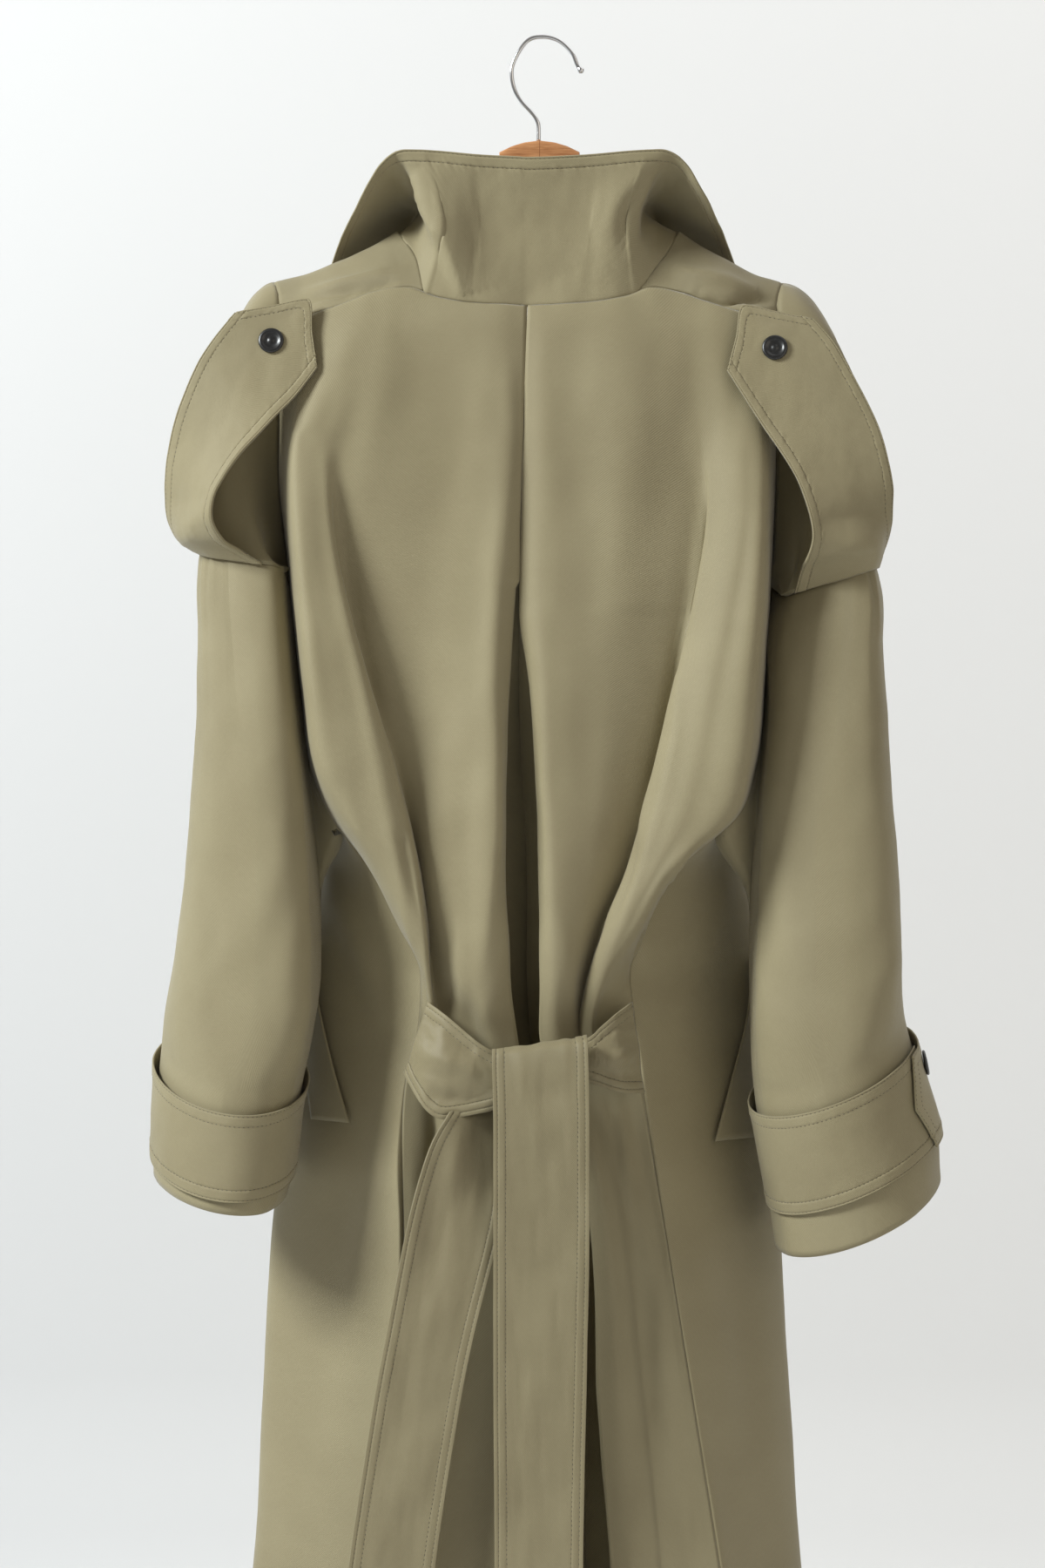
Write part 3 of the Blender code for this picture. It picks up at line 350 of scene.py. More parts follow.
def back_line(side, z):
    """The back panel's line across at one height, from the pleat's bottom out to its seam."""
    middle, gap, depth, under = (row(PLEAT, name, z) for name in ("middle", "gap", "depth", "under"))
    across, levels = BACK_ACROSS[side], BACK_ACROSS[side]["z"]
    panel = [[row(across, name, z), smooth(z, levels, BACK_DEPTH[side][name]), z] for name in FOLD_LINES]
    panel[0][0] = lip_x = middle + side * 0.55 if z > PLEAT_SHUT else panel[0][0] + side * 0.3
    lip_y = panel[0][1]
    fold = through([(middle + side * (gap - 0.6), lip_y + depth, z),
                    (lip_x + side * under, lip_y + 0.85 * depth, z), (lip_x, lip_y, z)], BACK_STEPS)
    return np.concatenate([fold, through(panel, PANEL_STEPS)[1:]])


def back_grid(side):
    """The whole panel: its rows follow the slanting seam at the top and become level below it."""
    levels = np.arange(-195.0, HEM - 5, -5.0)
    known = np.array([back_line(side, z) for z in levels])
    share = np.clip((np.arange(known.shape[1]) - LIP) / (known.shape[1] - 1 - LIP), 0, 1)
    top = smooth(share, BACK_TOP["share"], BACK_TOP["z"])
    lines = []
    for z in np.concatenate([np.linspace(-225, -290, 18), np.arange(-295, HEM - 1, -5.0)]):
        level = np.clip((-225 - z) / 65, 0, 1)
        heights = top + (z - top) * level if level < 1 else np.full(len(top), z)
        line = np.array([[np.interp(-h, -levels, known[:, k, axis]) for axis in range(3)]
                         for k, h in enumerate(heights)])
        line[:, 1] += 6 * np.clip((line[:, 2] + 236) / 36, 0, 1) * (1 - level)
        lines.append(line)
    return np.array(lines)


def outward(grid, sign):
    """The unit normal at each point of a grid; the sign makes it point out of the coat."""
    return unit(sign * np.cross(np.gradient(grid, axis=1), np.gradient(grid, axis=0)))


def along(line, places):
    """The line's points at the given lengths along it."""
    run = lengths(line)
    return np.stack([np.interp(places, run, column) for column in line.T], axis=-1)


def resample(line, count):
    """The same line with points at equal steps along it."""
    return along(line, np.linspace(0, lengths(line)[-1], count))


def folded(grid, sign, folds, face=-1):
    """The cloth with folds laid in on its back face or, with 1, on its front one, each
    dying out towards both ends."""
    for left, right, height, sharp, *line in folds:
        out = outward(grid, sign)
        other_face = 1e6 * (out[..., 1] * face < 0.05)
        knots = [grid[np.unravel_index(np.argmin(np.hypot(grid[..., 0] - x, grid[..., 2] - z) + other_face),
                                       other_face.shape)] for x, z in zip(line[::2], line[1::2])]
        path = through(knots, [8] * (len(knots) - 1))
        path = resample(path, int(lengths(path)[-1] / 3) + 2)
        reach = 3 * max(left, right)
        inside = (grid > path.min(axis=0) - reach) & (grid < path.max(axis=0) + reach)
        close = np.nonzero(inside.all(axis=-1))
        away, near = np.full(grid.shape[:2], 1e3), np.zeros(grid.shape[:2], int)
        gaps = np.linalg.norm(grid[close][:, None] - path, axis=-1)
        away[close], near[close] = gaps.min(axis=-1), gaps.argmin(axis=-1)
        way = np.gradient(path, axis=0)[near]
        beside = (np.cross(way, out) * (grid - path[near])).sum(axis=-1) > 0
        ends = np.sin(np.pi * np.clip(near / (len(path) - 1), 0.02, 0.98)) ** 0.7
        rise = height * ends * np.exp(-(away / np.where(beside, left, right)) ** sharp)
        grid = grid + out * rise[..., None]
    return grid


def rumpled(grid, sign, sizes, height, seed):
    """Soft unevenness: noise along the outward direction, of the given sizes across and down."""
    across, down = sizes
    push = np.array([[noise.fractal(Vector((p[0] / across, p[1] / across + seed, p[2] / down)), 0.9, 2.1, 3)
                      for p in line] for line in grid])
    return grid + outward(grid, sign) * (height * push)[..., None]


TURN_IN = [(0.3, None), (0.0, 0.9), (0.3, 0.4), (1.0, 0.1)]      # each step onto the cloth, and how deep


def turned_in(grid, sign, *edges, deep=6.0, gap=0.8):
    """The cloth with its allowance turned to the inside along the named edges, as at a seam."""
    for edge in edges:
        axis, step = int("column" in edge), -1 if "last" in edge else 1
        work, out = (np.swapaxes(part, 0, axis)[::step] for part in (grid, outward(grid, sign)))
        way = unit(work[1] - work[0])
        work = np.concatenate([[work[0] - out[0] * (sunk or deep) + way * (gap + on)] for on, sunk in TURN_IN]
                              + [work[1:]])
        grid = np.swapaxes(work[::step], 0, axis)
    return grid


def cloth(name, node, grid, cut, wall=WALL, wrap=False, slot="gabardine"):
    """A thin wall of cloth on a grid of points, with its warp and weft measured along it in metres."""
    rows, columns = grid.shape[:2]
    thing = piece(name, grid.reshape(-1, 3), loft_faces(rows, columns, wrap), fabrics[slot], slot, node)
    down = np.mean([lengths(grid[:, k]) for k in range(0, columns, 4)], axis=0)
    middle = np.mean([lengths(grid[k]) for k in range(0, rows, 8)], axis=0)
    corners = np.array([loop.vertex_index for loop in thing.data.loops])
    u = middle[corners % columns]
    if wrap:        # the faces that close the ring run on past its last line
        ring = middle[-1] + np.linalg.norm(grid[:, 0] - grid[:, -1], axis=-1).mean()
        for face in u.reshape(-1, 4):
            if np.ptp(face) > 0.5 * middle[-1]:
                face[face < np.ptp(face) * 0.5] += ring
    weave = thing.data.uv_layers.new(name="weave")
    weave.data.foreach_set("uv", np.stack([u, down[corners // columns]], axis=-1).ravel() * MM)
    shell = thing.modifiers.new("two faces", "SOLIDIFY")
    shell.thickness, shell.offset = wall * MM, 0
    area = sum(face.area for face in thing.data.polygons)
    width, length = cut
    if area > width * length:
        width = width * area / (width * length) * 1.01


ROUND = 6.2832
TWILL = (820, 560)      # its lines in a metre, across and down


def gabardine_finish(name, light, dark, gloss):
    """Cotton gabardine: a steep twill line, uneven thread and pressed areas that shine a little."""
    made, inputs, flat = finish_of(name, "weave", Specular_IOR_Level=0.32, Sheen_Weight=0.18,
                                   Sheen_Roughness=0.45)
    across, down, _ = flat.parts()
    slant = across * (ROUND * TWILL[0]) + down * (ROUND * TWILL[1])
    twill = slant.math("SINE", slant)
    thread = flat.stretched(1500, 260, 1).speckle(1.0, 3.0)
    slub = flat.stretched(240, 1500, 1).speckle(1.0, 3.0)
    worn = flat.speckle(11.0, 4.0, Roughness=0.55)
    faded = flat.speckle(3.2, 3.0)
    tint = worn * 0.34 + faded * 0.46 + thread * 0.14 + slub * 0.1 + twill * 0.05
    tint = tint.node("MapRange", {"Value": tint, "From Min": 0.37, "From Max": 0.67})
    height = twill * 0.5 + thread * 0.35 + slub * 0.3
    paint(inputs, Base_Color=tint.between(dark, light), Roughness=gloss + 0.12 * worn,
          Normal=height.node("Bump", {"Height": height, "Strength": 0.85, "Distance": 0.00012}))
    return made


fabrics = {"gabardine": gabardine_finish("gabardine", (0.345, 0.300, 0.180), (0.262, 0.222, 0.127), 0.55)}
backs = {}
for side, name in SIDES.items():
    panel = folded(back_grid(side), -side, BACK_FOLDS[side])
    backs[side] = panel = rumpled(panel, -side, (60, 150), 1.6, side)
    panel = turned_in(panel, -side, "first_row", "last_column")
    cloth(f"back_panel_{name}", f"back_{name}", panel, (0.36, 1.22))


# ---- The fronts ----
# Each front is one piece of the same gabardine with the shoulder and the side panel: it runs
# from the back-set shoulder seam over the shoulder, and round to the side seam in the back.
FRONT_LAP, LAP_GAP, CHEST = 60.0, 3.5, 75.0
FRONT_ROWS = [
    # z_in, u_in, y_in, u_chest, y_chest, u_corner, y_corner, u_flank, y_flank, u_out, y_out, z_out
    (-177, 98, -28, 122, -30, 147, -29, 174, -24, 198, -18, -210),
    (-154, 112, -4, 134, -4, 156, -3, 180, -2, 203, 0, -194),
    (-168, 106, 18, 130, 22, 153, 24, 178, 22, 200, 14, -206),
    (-205, 90, 38, 116, 42, 145, 42, 174, 36, 196, 22, -250),
    (-245, 62, 50, 98, 54, 136, 52, 170, 44, 193, 26, -300),
    (-285, 18, 57, 74, 60, 122, 60, 164, 50, 190, 27, -360),
    (-320, -FRONT_LAP, 61, CHEST, 62, 118, 62, 160, 52, 186, 26, -420),
    (-410, -FRONT_LAP, 66, CHEST, 67, 120, 66, 158, 54, 181, 22, -480),
    (-490, -FRONT_LAP, 68, CHEST, 69, 120, 68, 155, 54, 174, 16, -545),
    (-555, -FRONT_LAP, 68, CHEST, 69, 120, 68, 152, 50, 168, 2, -590),
    (-600, -FRONT_LAP, 68, CHEST, 69, 120, 68, 152, 44, 162, -18, -614),
]
FRONT_SKIRT = dict(
    z=[-640, -702, -783, -860, -930, -1000, -1080, -1205, -1430],
    y_in=[68, 68, 66, 66, 70, 74, 79, 85, 95],
    u_corner=[122, 136, 150, 158, 170, 176, 180, 186, 200],
    y_corner=[68, 68, 66, 66, 70, 74, 79, 84, 92],
    u_flank=[164, 182, 190, 196, 205, 208, 212, 219, 240],
    y_flank=[42, 50, 52, 52, 46, 36, 28, 20, 14],
)
FRONT_STEPS = (3, 2, 2, 3)
NECK_ROWS = 7  # the rows of a front that lie along the neck
SIDE_SEAM_LEVELS = [-636, -661, -690, -720, -745, -768, -795, -831, -880, -960, -1080, -1240, HEM]
FRONT_FOLDS = {LEFT: [
    (6, 8, 4.6, 1.7, -118, -186, -152, -196, -190, -206),
    (6, 6, -7, 1.7, -112, -197, -146, -206, -182, -215),
    (6, 5, 3.4, 1.7, -128, -202, -156, -212, -188, -221),
    (12, 16, 3, 1.8, -110, -830, -150, -700, -178, -640),
    (8, 10, 3.5, 1.8, -96, -838, -104, -900, -112, -990),
    (10, 16, -2.6, 1.8, -106, -800, -134, -770, -168, -700),
    (20, 26, 3, 2, -112, -850, -140, -980, -160, -1150),
], RIGHT: [
    (6, 8, 4.6, 1.7, 104, -186, 136, -196, 176, -206),
    (6, 6, -7, 1.7, 112, -221, 148, -215, 184, -209),
    (6, 5, 3.4, 1.7, 114, -204, 144, -213, 174, -224),
    (12, 16, 3, 1.8, 84, -830, 120, -740, 152, -660),
    (10, 14, -2.6, 1.8, 82, -800, 108, -760, 140, -700),
    (20, 26, 3, 2, 96, -860, 130, -1000, 160, -1160),
]}
CHEST_FOLDS = {LEFT: [
    (26, 32, 5, 2, -120, -330, -100, -560, -60, -800, -40, -1000),
    (24, 34, 6, 2, -150, -700, -120, -900, -100, -1150, -95, -1380),
    (26, 24, -4, 2, -60, -860, -30, -1100, -20, -1400),
    (26, 26, -5, 2, -190, -900, -196, -1150, -205, -1400),
], RIGHT: [
    (28, 26, 5, 2, 122, -330, 104, -560, 84, -800, 80, -1000),
    (30, 24, 6, 2, 160, -700, 140, -900, 120, -1150, 118, -1380),
    (26, 26, -5, 2, 196, -900, 206, -1150, 214, -1400),
]}
DOWN, ACROSS = 8, 5     # fine steps between two of a front's rows, and of its columns
SEAM_START = (len(FRONT_ROWS) + 1) * DOWN      # the row at which the side seam to the back starts


def side_x(side, u):
    """Across, from the distance to the coat's middle: the coat hangs off centre at the shoulders."""
    return side * u + SHOULDER_DRIFT * np.clip((u - 100) / 90, 0, 1)


def shoulder_edge(side):
    """The top edge of the back from the neck to the armhole."""
    return backs[side][0][LIP + sum(PANEL_STEPS[:2]) + 7:]


def finer(grid, down, across):
    """The same surface through the same points, with smooth steps between them."""
    rows, columns = grid.shape[:2]
    grid = np.stack([through(grid[:, k], [down] * (rows - 1)) for k in range(columns)], axis=1)
    return np.stack([through(line, [across] * (columns - 1)) for line in grid])


def side_edge(side, z):
    """The back panel's side seam at a height."""
    edge = backs[side][:, -1]
    return [np.interp(-z, -edge[:, 2], edge[:, axis]) for axis in range(2)] + [z]


def front_grid(side):
    """From the back-set shoulder seam, over the shoulder, down to the hem."""
    lines = [resample(shoulder_edge(side), sum(FRONT_STEPS) + 1)]
    for z_in, *places, z_out in FRONT_ROWS:
        heights = z_in + (z_out - z_in) * np.array([0, 0.35, 0.6, 0.85, 1])
        lines.append(through([(side_x(side, u), y, z) for u, y, z in zip(places[::2], places[1::2], heights)],
                             FRONT_STEPS))
    for z in SIDE_SEAM_LEVELS:
        y_in, *corner_and_flank = (row(FRONT_SKIRT, name, z) for name in list(FRONT_SKIRT)[1:])
        pairs = zip(corner_and_flank[::2], corner_and_flank[1::2])
        lines.append(through([(side * -FRONT_LAP, y_in, z), (side * CHEST, y_in + 1, z),
                              *((side_x(side, u), y, z) for u, y in pairs), side_edge(side, z)], FRONT_STEPS))
    grid = finer(np.array(lines), DOWN, ACROSS)
    grid[SEAM_START:, -1] = [side_edge(side, point[2]) for point in grid[SEAM_START:, -1]]
    if side == RIGHT:       # the right front passes under the left one
        under = np.clip((100 - grid[..., 0]) / 35, 0, 1) * np.clip((grid[..., 1] - 45) / 10, 0, 1)
        grid[..., 1] -= LAP_GAP * under
    return grid


def seam_path(grid, sign, inset, *edges):
    """A line on the cloth at an inset from the named edges in turn, as points with their outward
    normals; a minus goes along an edge backwards."""
    both = np.concatenate([grid, outward(grid, sign)], axis=-1)
    parts = []
    for k, edge in enumerate(edges):
        across = np.swapaxes(both, 0, 1) if "row" in edge else both
        if "last" in edge:
            across = across[:, ::-1]
        line = np.array([along(each, inset) for each in across])[::-1 if edge[0] == "-" else 1]
        run = lengths(line)
        parts.append(line[(run >= inset * (k > 0)) & (run <= run[-1] - inset * (k < len(edges) - 1))])
    return np.concatenate(parts)


EDGE_LINES = np.array([0, 0.6, 1.1, 1.6, 2.1, 2.8, 3.4, 4.0, 5.4, 7.2, 8.4, 9.0, 9.5, 10.0, 10.7, 12.0])
BAND, PUCKER = 0.4, 0.22        # how far turned-in allowances raise an edge, and its puckers' height
DENT = BAND + 0.2               # how far a row of stitches draws it in
PUCKER_REACH, DENT_REACH = 3.0, 0.65
STITCH_ROWS, BELT_ROWS = (1.6, 9.6), (3.4, 9.4)     # how far in from an edge it is stitched


def edged(grid, sign, *edges, rows=STITCH_ROWS):
    """The cloth with its stitched edges: a band raised by the allowance, drawn in at each row of
    stitches, with small uneven puckers between them."""
    for kind in ("row", "column"):      # more lines of points near those edges
        lead, tail = (EDGE_LINES if f"{end}_{kind}" in edges else np.zeros(1) for end in ("first", "last"))
        if len(lead) + len(tail) > 2:
            work = grid if kind == "column" else np.swapaxes(grid, 0, 1)
            ends = [lengths(line)[-1] for line in work]
            work = np.array([along(line, np.concatenate([
                lead, np.linspace(lead[-1], end - tail[-1], len(line))[1:-1], end - tail[::-1]]))
                for line, end in zip(work, ends)])
            grid = work if kind == "column" else np.swapaxes(work, 0, 1)
    lift = np.zeros(grid.shape[:2])
    for edge in edges:
        axis = int("column" in edge)
        steps = [np.linalg.norm(np.gradient(grid, axis=k), axis=-1) for k in (axis, 1 - axis)]
        run, beside = (np.cumsum(step, axis=k) - np.take(step, [0], axis=k)
                       for step, k in zip(steps, (axis, 1 - axis)))
        if "last" in edge:
            run = run.max(axis=axis, keepdims=True) - run
        wave = np.sin(beside / 1.15 + 2.0 * np.sin(beside / 7.3)) + 0.7 * np.sin(beside / 2.3 + 1.0)
        lift = np.maximum(lift, np.clip((rows[-1] + 1.2 - run) / 2.4, 0, 1) * BAND)
        lift = lift + wave * PUCKER * np.exp(-((run - rows[-1]) / PUCKER_REACH) ** 2)
        for row_at in rows:
            lift -= DENT * np.exp(-((run - row_at) / DENT_REACH) ** 2)
    return grid + outward(grid, sign) * lift[..., None]


STITCH, STITCH_GAP = 2.7, 0.9
BEAD = (0.33, 0.24)     # half of a stitch across, and how far it stands up and down from its middle
# Painted shade: the stitches are real thread, but their colour is set far darker than the cloth to stand for
# the shadow in the stitch holes and in the groove each row draws in.
thread, thread_in, ply = finish_of("thread", Roughness=0.6, Sheen_Weight=0.2)
paint(thread_in, Base_Color=ply.speckle(2500.0).between((0.075, 0.062, 0.034), (0.12, 0.1, 0.058)))


def stitching(name, grid, sign, insets, *runs, wall=WALL):
    """Rows of lock stitches, one at each inset along each run of edges: each stitch is a short bead
    of thread that dips into the cloth at both ends."""
    beads = []
    for path in (seam_path(grid, sign, inset, *edges) for inset in insets for edges in runs):
        starts = np.arange(0.4, lengths(path)[-1] - STITCH, STITCH + STITCH_GAP)
        start, middle, end = (along(path, starts + STITCH * t) for t in (0.0, 0.5, 1.0))
        start, middle, end, out = start[:, :3], middle[:, :3], end[:, :3], unit(middle[:, 3:])
        beside, up = unit(np.cross(out, end - start)) * BEAD[0], out * BEAD[1]
        sunk, middle = out * (wall / 2 - 0.15), middle + out * (wall / 2 + 0.12)
        beads.append(np.stack([start + sunk, end + sunk, middle + beside, middle + up, middle - beside,
                               middle - up], axis=1))
    points = np.concatenate(beads).reshape(-1, 3)
    faces = []
    for first in range(0, len(points), 6):
        for k in range(4):
            a, b = first + 2 + k, first + 2 + (k + 1) % 4
            faces += [(first, b, a), (first + 1, a, b)]
    piece(name, points, faces, thread, "gabardine")


fronts = {}
for side, name in SIDES.items():
    panel = folded(folded(front_grid(side), side, FRONT_FOLDS[side]), side, CHEST_FOLDS[side], 1)
    fronts[side] = panel = rumpled(panel, side, (70, 160), 1.8, 4 + side)
    stitching(f"front_stitching_{name}", panel[NECK_ROWS * DOWN:], side, STITCH_ROWS, ("first_column",))
    panel = turned_in(panel, side, "first_row", "last_column")
    cloth(f"front_panel_{name}", f"front_{name}", panel, (0.42, 1.30))


# ---- The sleeves ----
# A short cap is set into the dropped armhole; the sleeve proper is sewn to it with a little
# fullness, so small gathers hang under the cross seam.
SLEEVE_DEPTH = dict(
    y=[-6, -9, -13, -17, -20, -23, -26, -27, -27, -27],
    deep=[45, 50, 56, 60, 62, 64, 65, 66, 66, 66],
)
SLEEVE = {LEFT: dict(
    z=[-413, -457, -522, -598, -674, -729, -783, -830, -889, -906],
    outer=[-268, -269, -271, -274, -280, -287, -296, -300, -304, -304],
    inner=[-200, -196, -189, -181, -175, -174, -180, -190, -196, -200],
    lean=[6, 6, 6, 6, 8, 8, 9, 9, 8, 10],
    pitch=[4, 4, 6, 8, 14, 22, 28, 29, 26, 18],
    **SLEEVE_DEPTH,
), RIGHT: dict(
    z=[-430, -457, -522, -587, -663, -739, -797, -840, -892, -928],
    outer=[265, 269, 271, 275, 281, 284, 286, 296, 312, 315],
    inner=[188, 181, 178, 173, 168, 166, 168, 174, 182, 186],
    lean=[12, 12, 12, 13, 16, 21, 25, 28, 30, 27],
    pitch=[4, 4, 6, 8, 12, 16, 20, 21, 21, 20],
    **SLEEVE_DEPTH,
)}
CAP_END = 155.0         # the cap runs this many degrees from the sleeve's outer side, both ways
CAP_ANGLES = np.radians(np.linspace(-CAP_END, CAP_END, 49))
CAP_BACK_LEVEL, CAP_FRONT_ROW = -440.0, 7   # where the cross seam meets the back's and the front's armhole
CAP_GAP, BESIDE = 12.0, -0.7
ARMPIT = -636.0
UNDER_COUNT = 20
SLEEVE_TURN = {LEFT: 14.0, RIGHT: -8.0}      # how far the outer side hangs in front of the inner one
# Uneven little pleats that fade out down the sleeve: their spacing, height, start and fall.
GATHERS = ((5.2, 0.9, 0.4, 0.05), (8.6, 1.1, 1.9, 0.085), (13.7, 0.8, 4.1, 0.13))
SLEEVE_FOLDS = {LEFT: [
    (12, 16, 2.2, 1.8, -232, -420, -226, -520, -214, -620),
    (14, 12, -2.4, 1.8, -196, -560, -190, -640, -196, -720),
    (20, 16, -2.6, 2, -262, -640, -250, -760, -232, -800),
    (14, 14, 2.6, 2, -200, -640, -222, -700, -250, -730),
], RIGHT: [
    (16, 14, 2.4, 1.8, 226, -440, 222, -560, 214, -660),
    (10, 14, -2.4, 1.8, 184, -620, 176, -700, 190, -780),
    (18, 18, 2.6, 2, 196, -700, 240, -770, 280, -810),
    (18, 16, -2.2, 2, 262, -560, 268, -680, 262, -760),
]}
SLEEVE_FRONT_FOLDS = {LEFT: [
    (16, 18, 3, 2, -230, -440, -240, -560, -236, -700),
    (14, 14, -3.5, 2, -200, -640, -225, -700, -262, -740),
    (16, 12, 3, 2, -210, -740, -240, -790),
], RIGHT: [
    (16, 18, 3, 2, 226, -440, 236, -560, 230, -700),
    (14, 14, -3.5, 2, 190, -660, 222, -720, 266, -760),
    (16, 12, 3, 2, 210, -760, 250, -810),
]}


def round_share(angle, z):
    """Across and out, for an angle round the sleeve: its back hangs flat above the cuff."""
    flat = 2 / (2 + 1.7 * np.clip(-3 * np.sin(angle), 0, 1) * np.clip((np.asarray(z) + 800) / 60, 0, 1))
    return (np.sign(v) * np.abs(v) ** flat for v in (np.cos(angle), np.sin(angle)))


def slant(side, angle, z):
    c, s = round_share(angle, z)
    return row(SLEEVE[side], "lean", z) * c + row(SLEEVE[side], "pitch", z) * s


def ring_point(side, angle, z, out=0.0):
    """A point round the sleeve: angle 0 is its outer side, 90 degrees its front; z is the ring's height."""
    outer, inner, y, deep = (row(SLEEVE[side], name, z) for name in ("outer", "inner", "y", "deep"))
    c, s = round_share(angle, z)
    return np.stack([(outer + inner) / 2 + side * (abs(outer - inner) / 2 + out) * c,
                     y + (deep + out) * s + SLEEVE_TURN[side] * c * np.clip(-s, 0, 1),
                     z + slant(side, angle, z)], axis=-1)


def back_armhole(side, low, high):
    """The back's armhole edge between two heights, from the low end up."""
    edge = backs[side][:, -1]
    return edge[(edge[:, 2] <= high) & (edge[:, 2] >= low)][::-1]


def front_armhole(side, first, last):
    """The front's armhole edge between two of its rows."""
    return fronts[side][first * DOWN:last * DOWN + 1, -1]


def cap_grid(side):
    """From the armhole out, nearly level, and down to the cross seam in a round."""
    armhole = np.concatenate([back_armhole(side, CAP_BACK_LEVEL, 0),
                              front_armhole(side, 0, CAP_FRONT_ROW)[1:]])
    upper = resample(armhole, len(CAP_ANGLES)) + [side * BESIDE, 0, 0]
    lower = ring_point(side, CAP_ANGLES, np.full(len(CAP_ANGLES), float(SLEEVE[side]["z"][0])))
    cosine = np.clip(np.cos(CAP_ANGLES), 0, 1)
    inside = np.clip((math.radians(CAP_END) - np.abs(CAP_ANGLES)) / math.radians(14), 0, 1)
    back = np.clip(-3 * np.sin(CAP_ANGLES), 0, 1)
    # It bulges out beside the back.
    corner = np.exp(-((CAP_ANGLES + math.radians(138)) / math.radians(20)) ** 2)
    swell = np.stack([side * CAP_GAP * back, 8 * np.sin(CAP_ANGLES) - 16 * corner, 0 * cosine], axis=-1)
    lines = []
    for t in np.linspace(0, 1, 44):
        quarter = math.pi * t / 2
        share = t + np.outer(cosine, (math.sin(quarter) - t, 0, 1 - math.cos(quarter) - t))
        lines.append(upper + (lower - upper) * share + swell * inside[:, None] * math.sin(math.pi * t ** 0.6))
    return np.array(lines)


def sleeve_grid(side, cross_seam):
    """From the cross seam and the armhole's lower part down to the hem, round the arm."""
    under = np.concatenate([front_armhole(side, CAP_FRONT_ROW, len(FRONT_ROWS)),
                            back_armhole(side, ARMPIT, CAP_BACK_LEVEL)])
    under = resample(under, UNDER_COUNT) + [side * BESIDE, 0, 0]
    top = np.concatenate([cross_seam - [0, 0, 0.6], under])
    under_angles = np.linspace(CAP_END, 360 - CAP_END, UNDER_COUNT + 2)[1:-1]
    start_angles = np.concatenate([CAP_ANGLES, np.radians(under_angles)])
    even_angles = np.radians(-150 + np.arange(len(top)) * 360 / len(top))
    upper_half = np.clip(np.cos(start_angles) + 0.3, 0, 1)
    start = ring_point(side, start_angles, top[:, 2])
    hem = float(SLEEVE[side]["z"][-1])
    lines = []
    for share in np.concatenate([np.linspace(0, 0.1, 14)[:-1], np.linspace(0.1, 1, 92)]):
        angles = start_angles + (even_angles - start_angles) * min(1, share / 0.4)
        z = top[:, 2] + (hem + slant(side, angles, hem) - top[:, 2]) * share
        ring_z = z - slant(side, angles, z)
        ring = ring_point(side, angles, z - slant(side, angles, ring_z))
        ring[:, 2] = z
        line = ring + (top - start) * [1, 1, 0] * math.exp(-(share / 0.10) ** 2)
        gather = sum(high * math.exp(-share / fall)
                     * np.sin(lengths(top) * 2 * math.pi / pitch + phase + side)
                     for pitch, high, phase, fall in GATHERS)
        puff = 1.6 * math.sin(math.pi * share / 0.12) if share < 0.12 else 0.0
        away = unit((line - line.mean(axis=0)) * [1, 1, 0])
        lines.append(line + away * ((gather * min(1, share / 0.01) + puff) * upper_half)[:, None])
    return np.array(lines)


for side, name in SIDES.items():
    cap = rumpled(cap_grid(side), -side, (40, 60), 1.2, 7 + side)
    cloth(f"cap_{name}", f"sleeve_cap_{name}", turned_in(cap, -side, "last_row"), (0.34, 0.24))
    grid = folded(sleeve_grid(side, cap[-1]), -side, SLEEVE_FOLDS[side])
    grid = rumpled(folded(grid, -side, SLEEVE_FRONT_FOLDS[side], 1), -side, (50, 110), 1.5, 11 + side)
    grid = turned_in(grid, -side, "first_row")
    cloth(f"sleeve_shell_{name}", f"sleeve_{name}", grid, (0.42, 0.56), wrap=True)


# ---- The cuff straps ----
# A band of two layers goes round each sleeve above its hem, its pointed end buttoned over
# its start, with a double row of stitching along both edges.
CUFF_STRAP = {LEFT: (-818, -889), RIGHT: (-818, -892)}
CUFF_BUTTON_ANGLE = {LEFT: 130.0, RIGHT: 8.0}
CUFF_LAP = math.radians(24)
CUFF_LOOSE, CUFF_TAPER, LAP_LIFT = 5.2, 2.4, 3.2      # out from the sleeve at its top, less at its low edge
LAP_FROM, POINT_FROM, EASE, POINT = 0.88, 0.94, 0.06, 0.45      # shares of the band's length, and of its lap
cuffs = {}
for side, name in SIDES.items():
    top, low = CUFF_STRAP[side]
    end = math.radians(CUFF_BUTTON_ANGLE[side])
    run = np.linspace(0, 1, 209)
    lap = LAP_LIFT * np.clip((run - LAP_FROM) / EASE, 0, 1)
    lines = []
    for share in np.linspace(0, 1, 41):
        pointed = CUFF_LAP * POINT * (abs(share - 0.5) * 2) * np.clip((run - POINT_FROM) / EASE, 0, 1)
        angle = end - run * (2 * math.pi + CUFF_LAP) - CUFF_LAP + pointed
        lines.append(ring_point(side, angle, np.full(len(run), top + (low - top) * share),
                                CUFF_LOOSE - CUFF_TAPER * share + lap))
    band = rumpled(np.array(lines), side, (45, 45), 0.7, 17 + side)
    cuffs[side] = band = edged(band, side, "first_row", "last_row")
    stitching(f"cuff_stitching_{name}", band, side, STITCH_ROWS, ("first_row", "last_column", "-last_row"))
    cloth(f"cuff_band_{name}", f"cuff_strap_{name}", band, (0.45, 0.075))


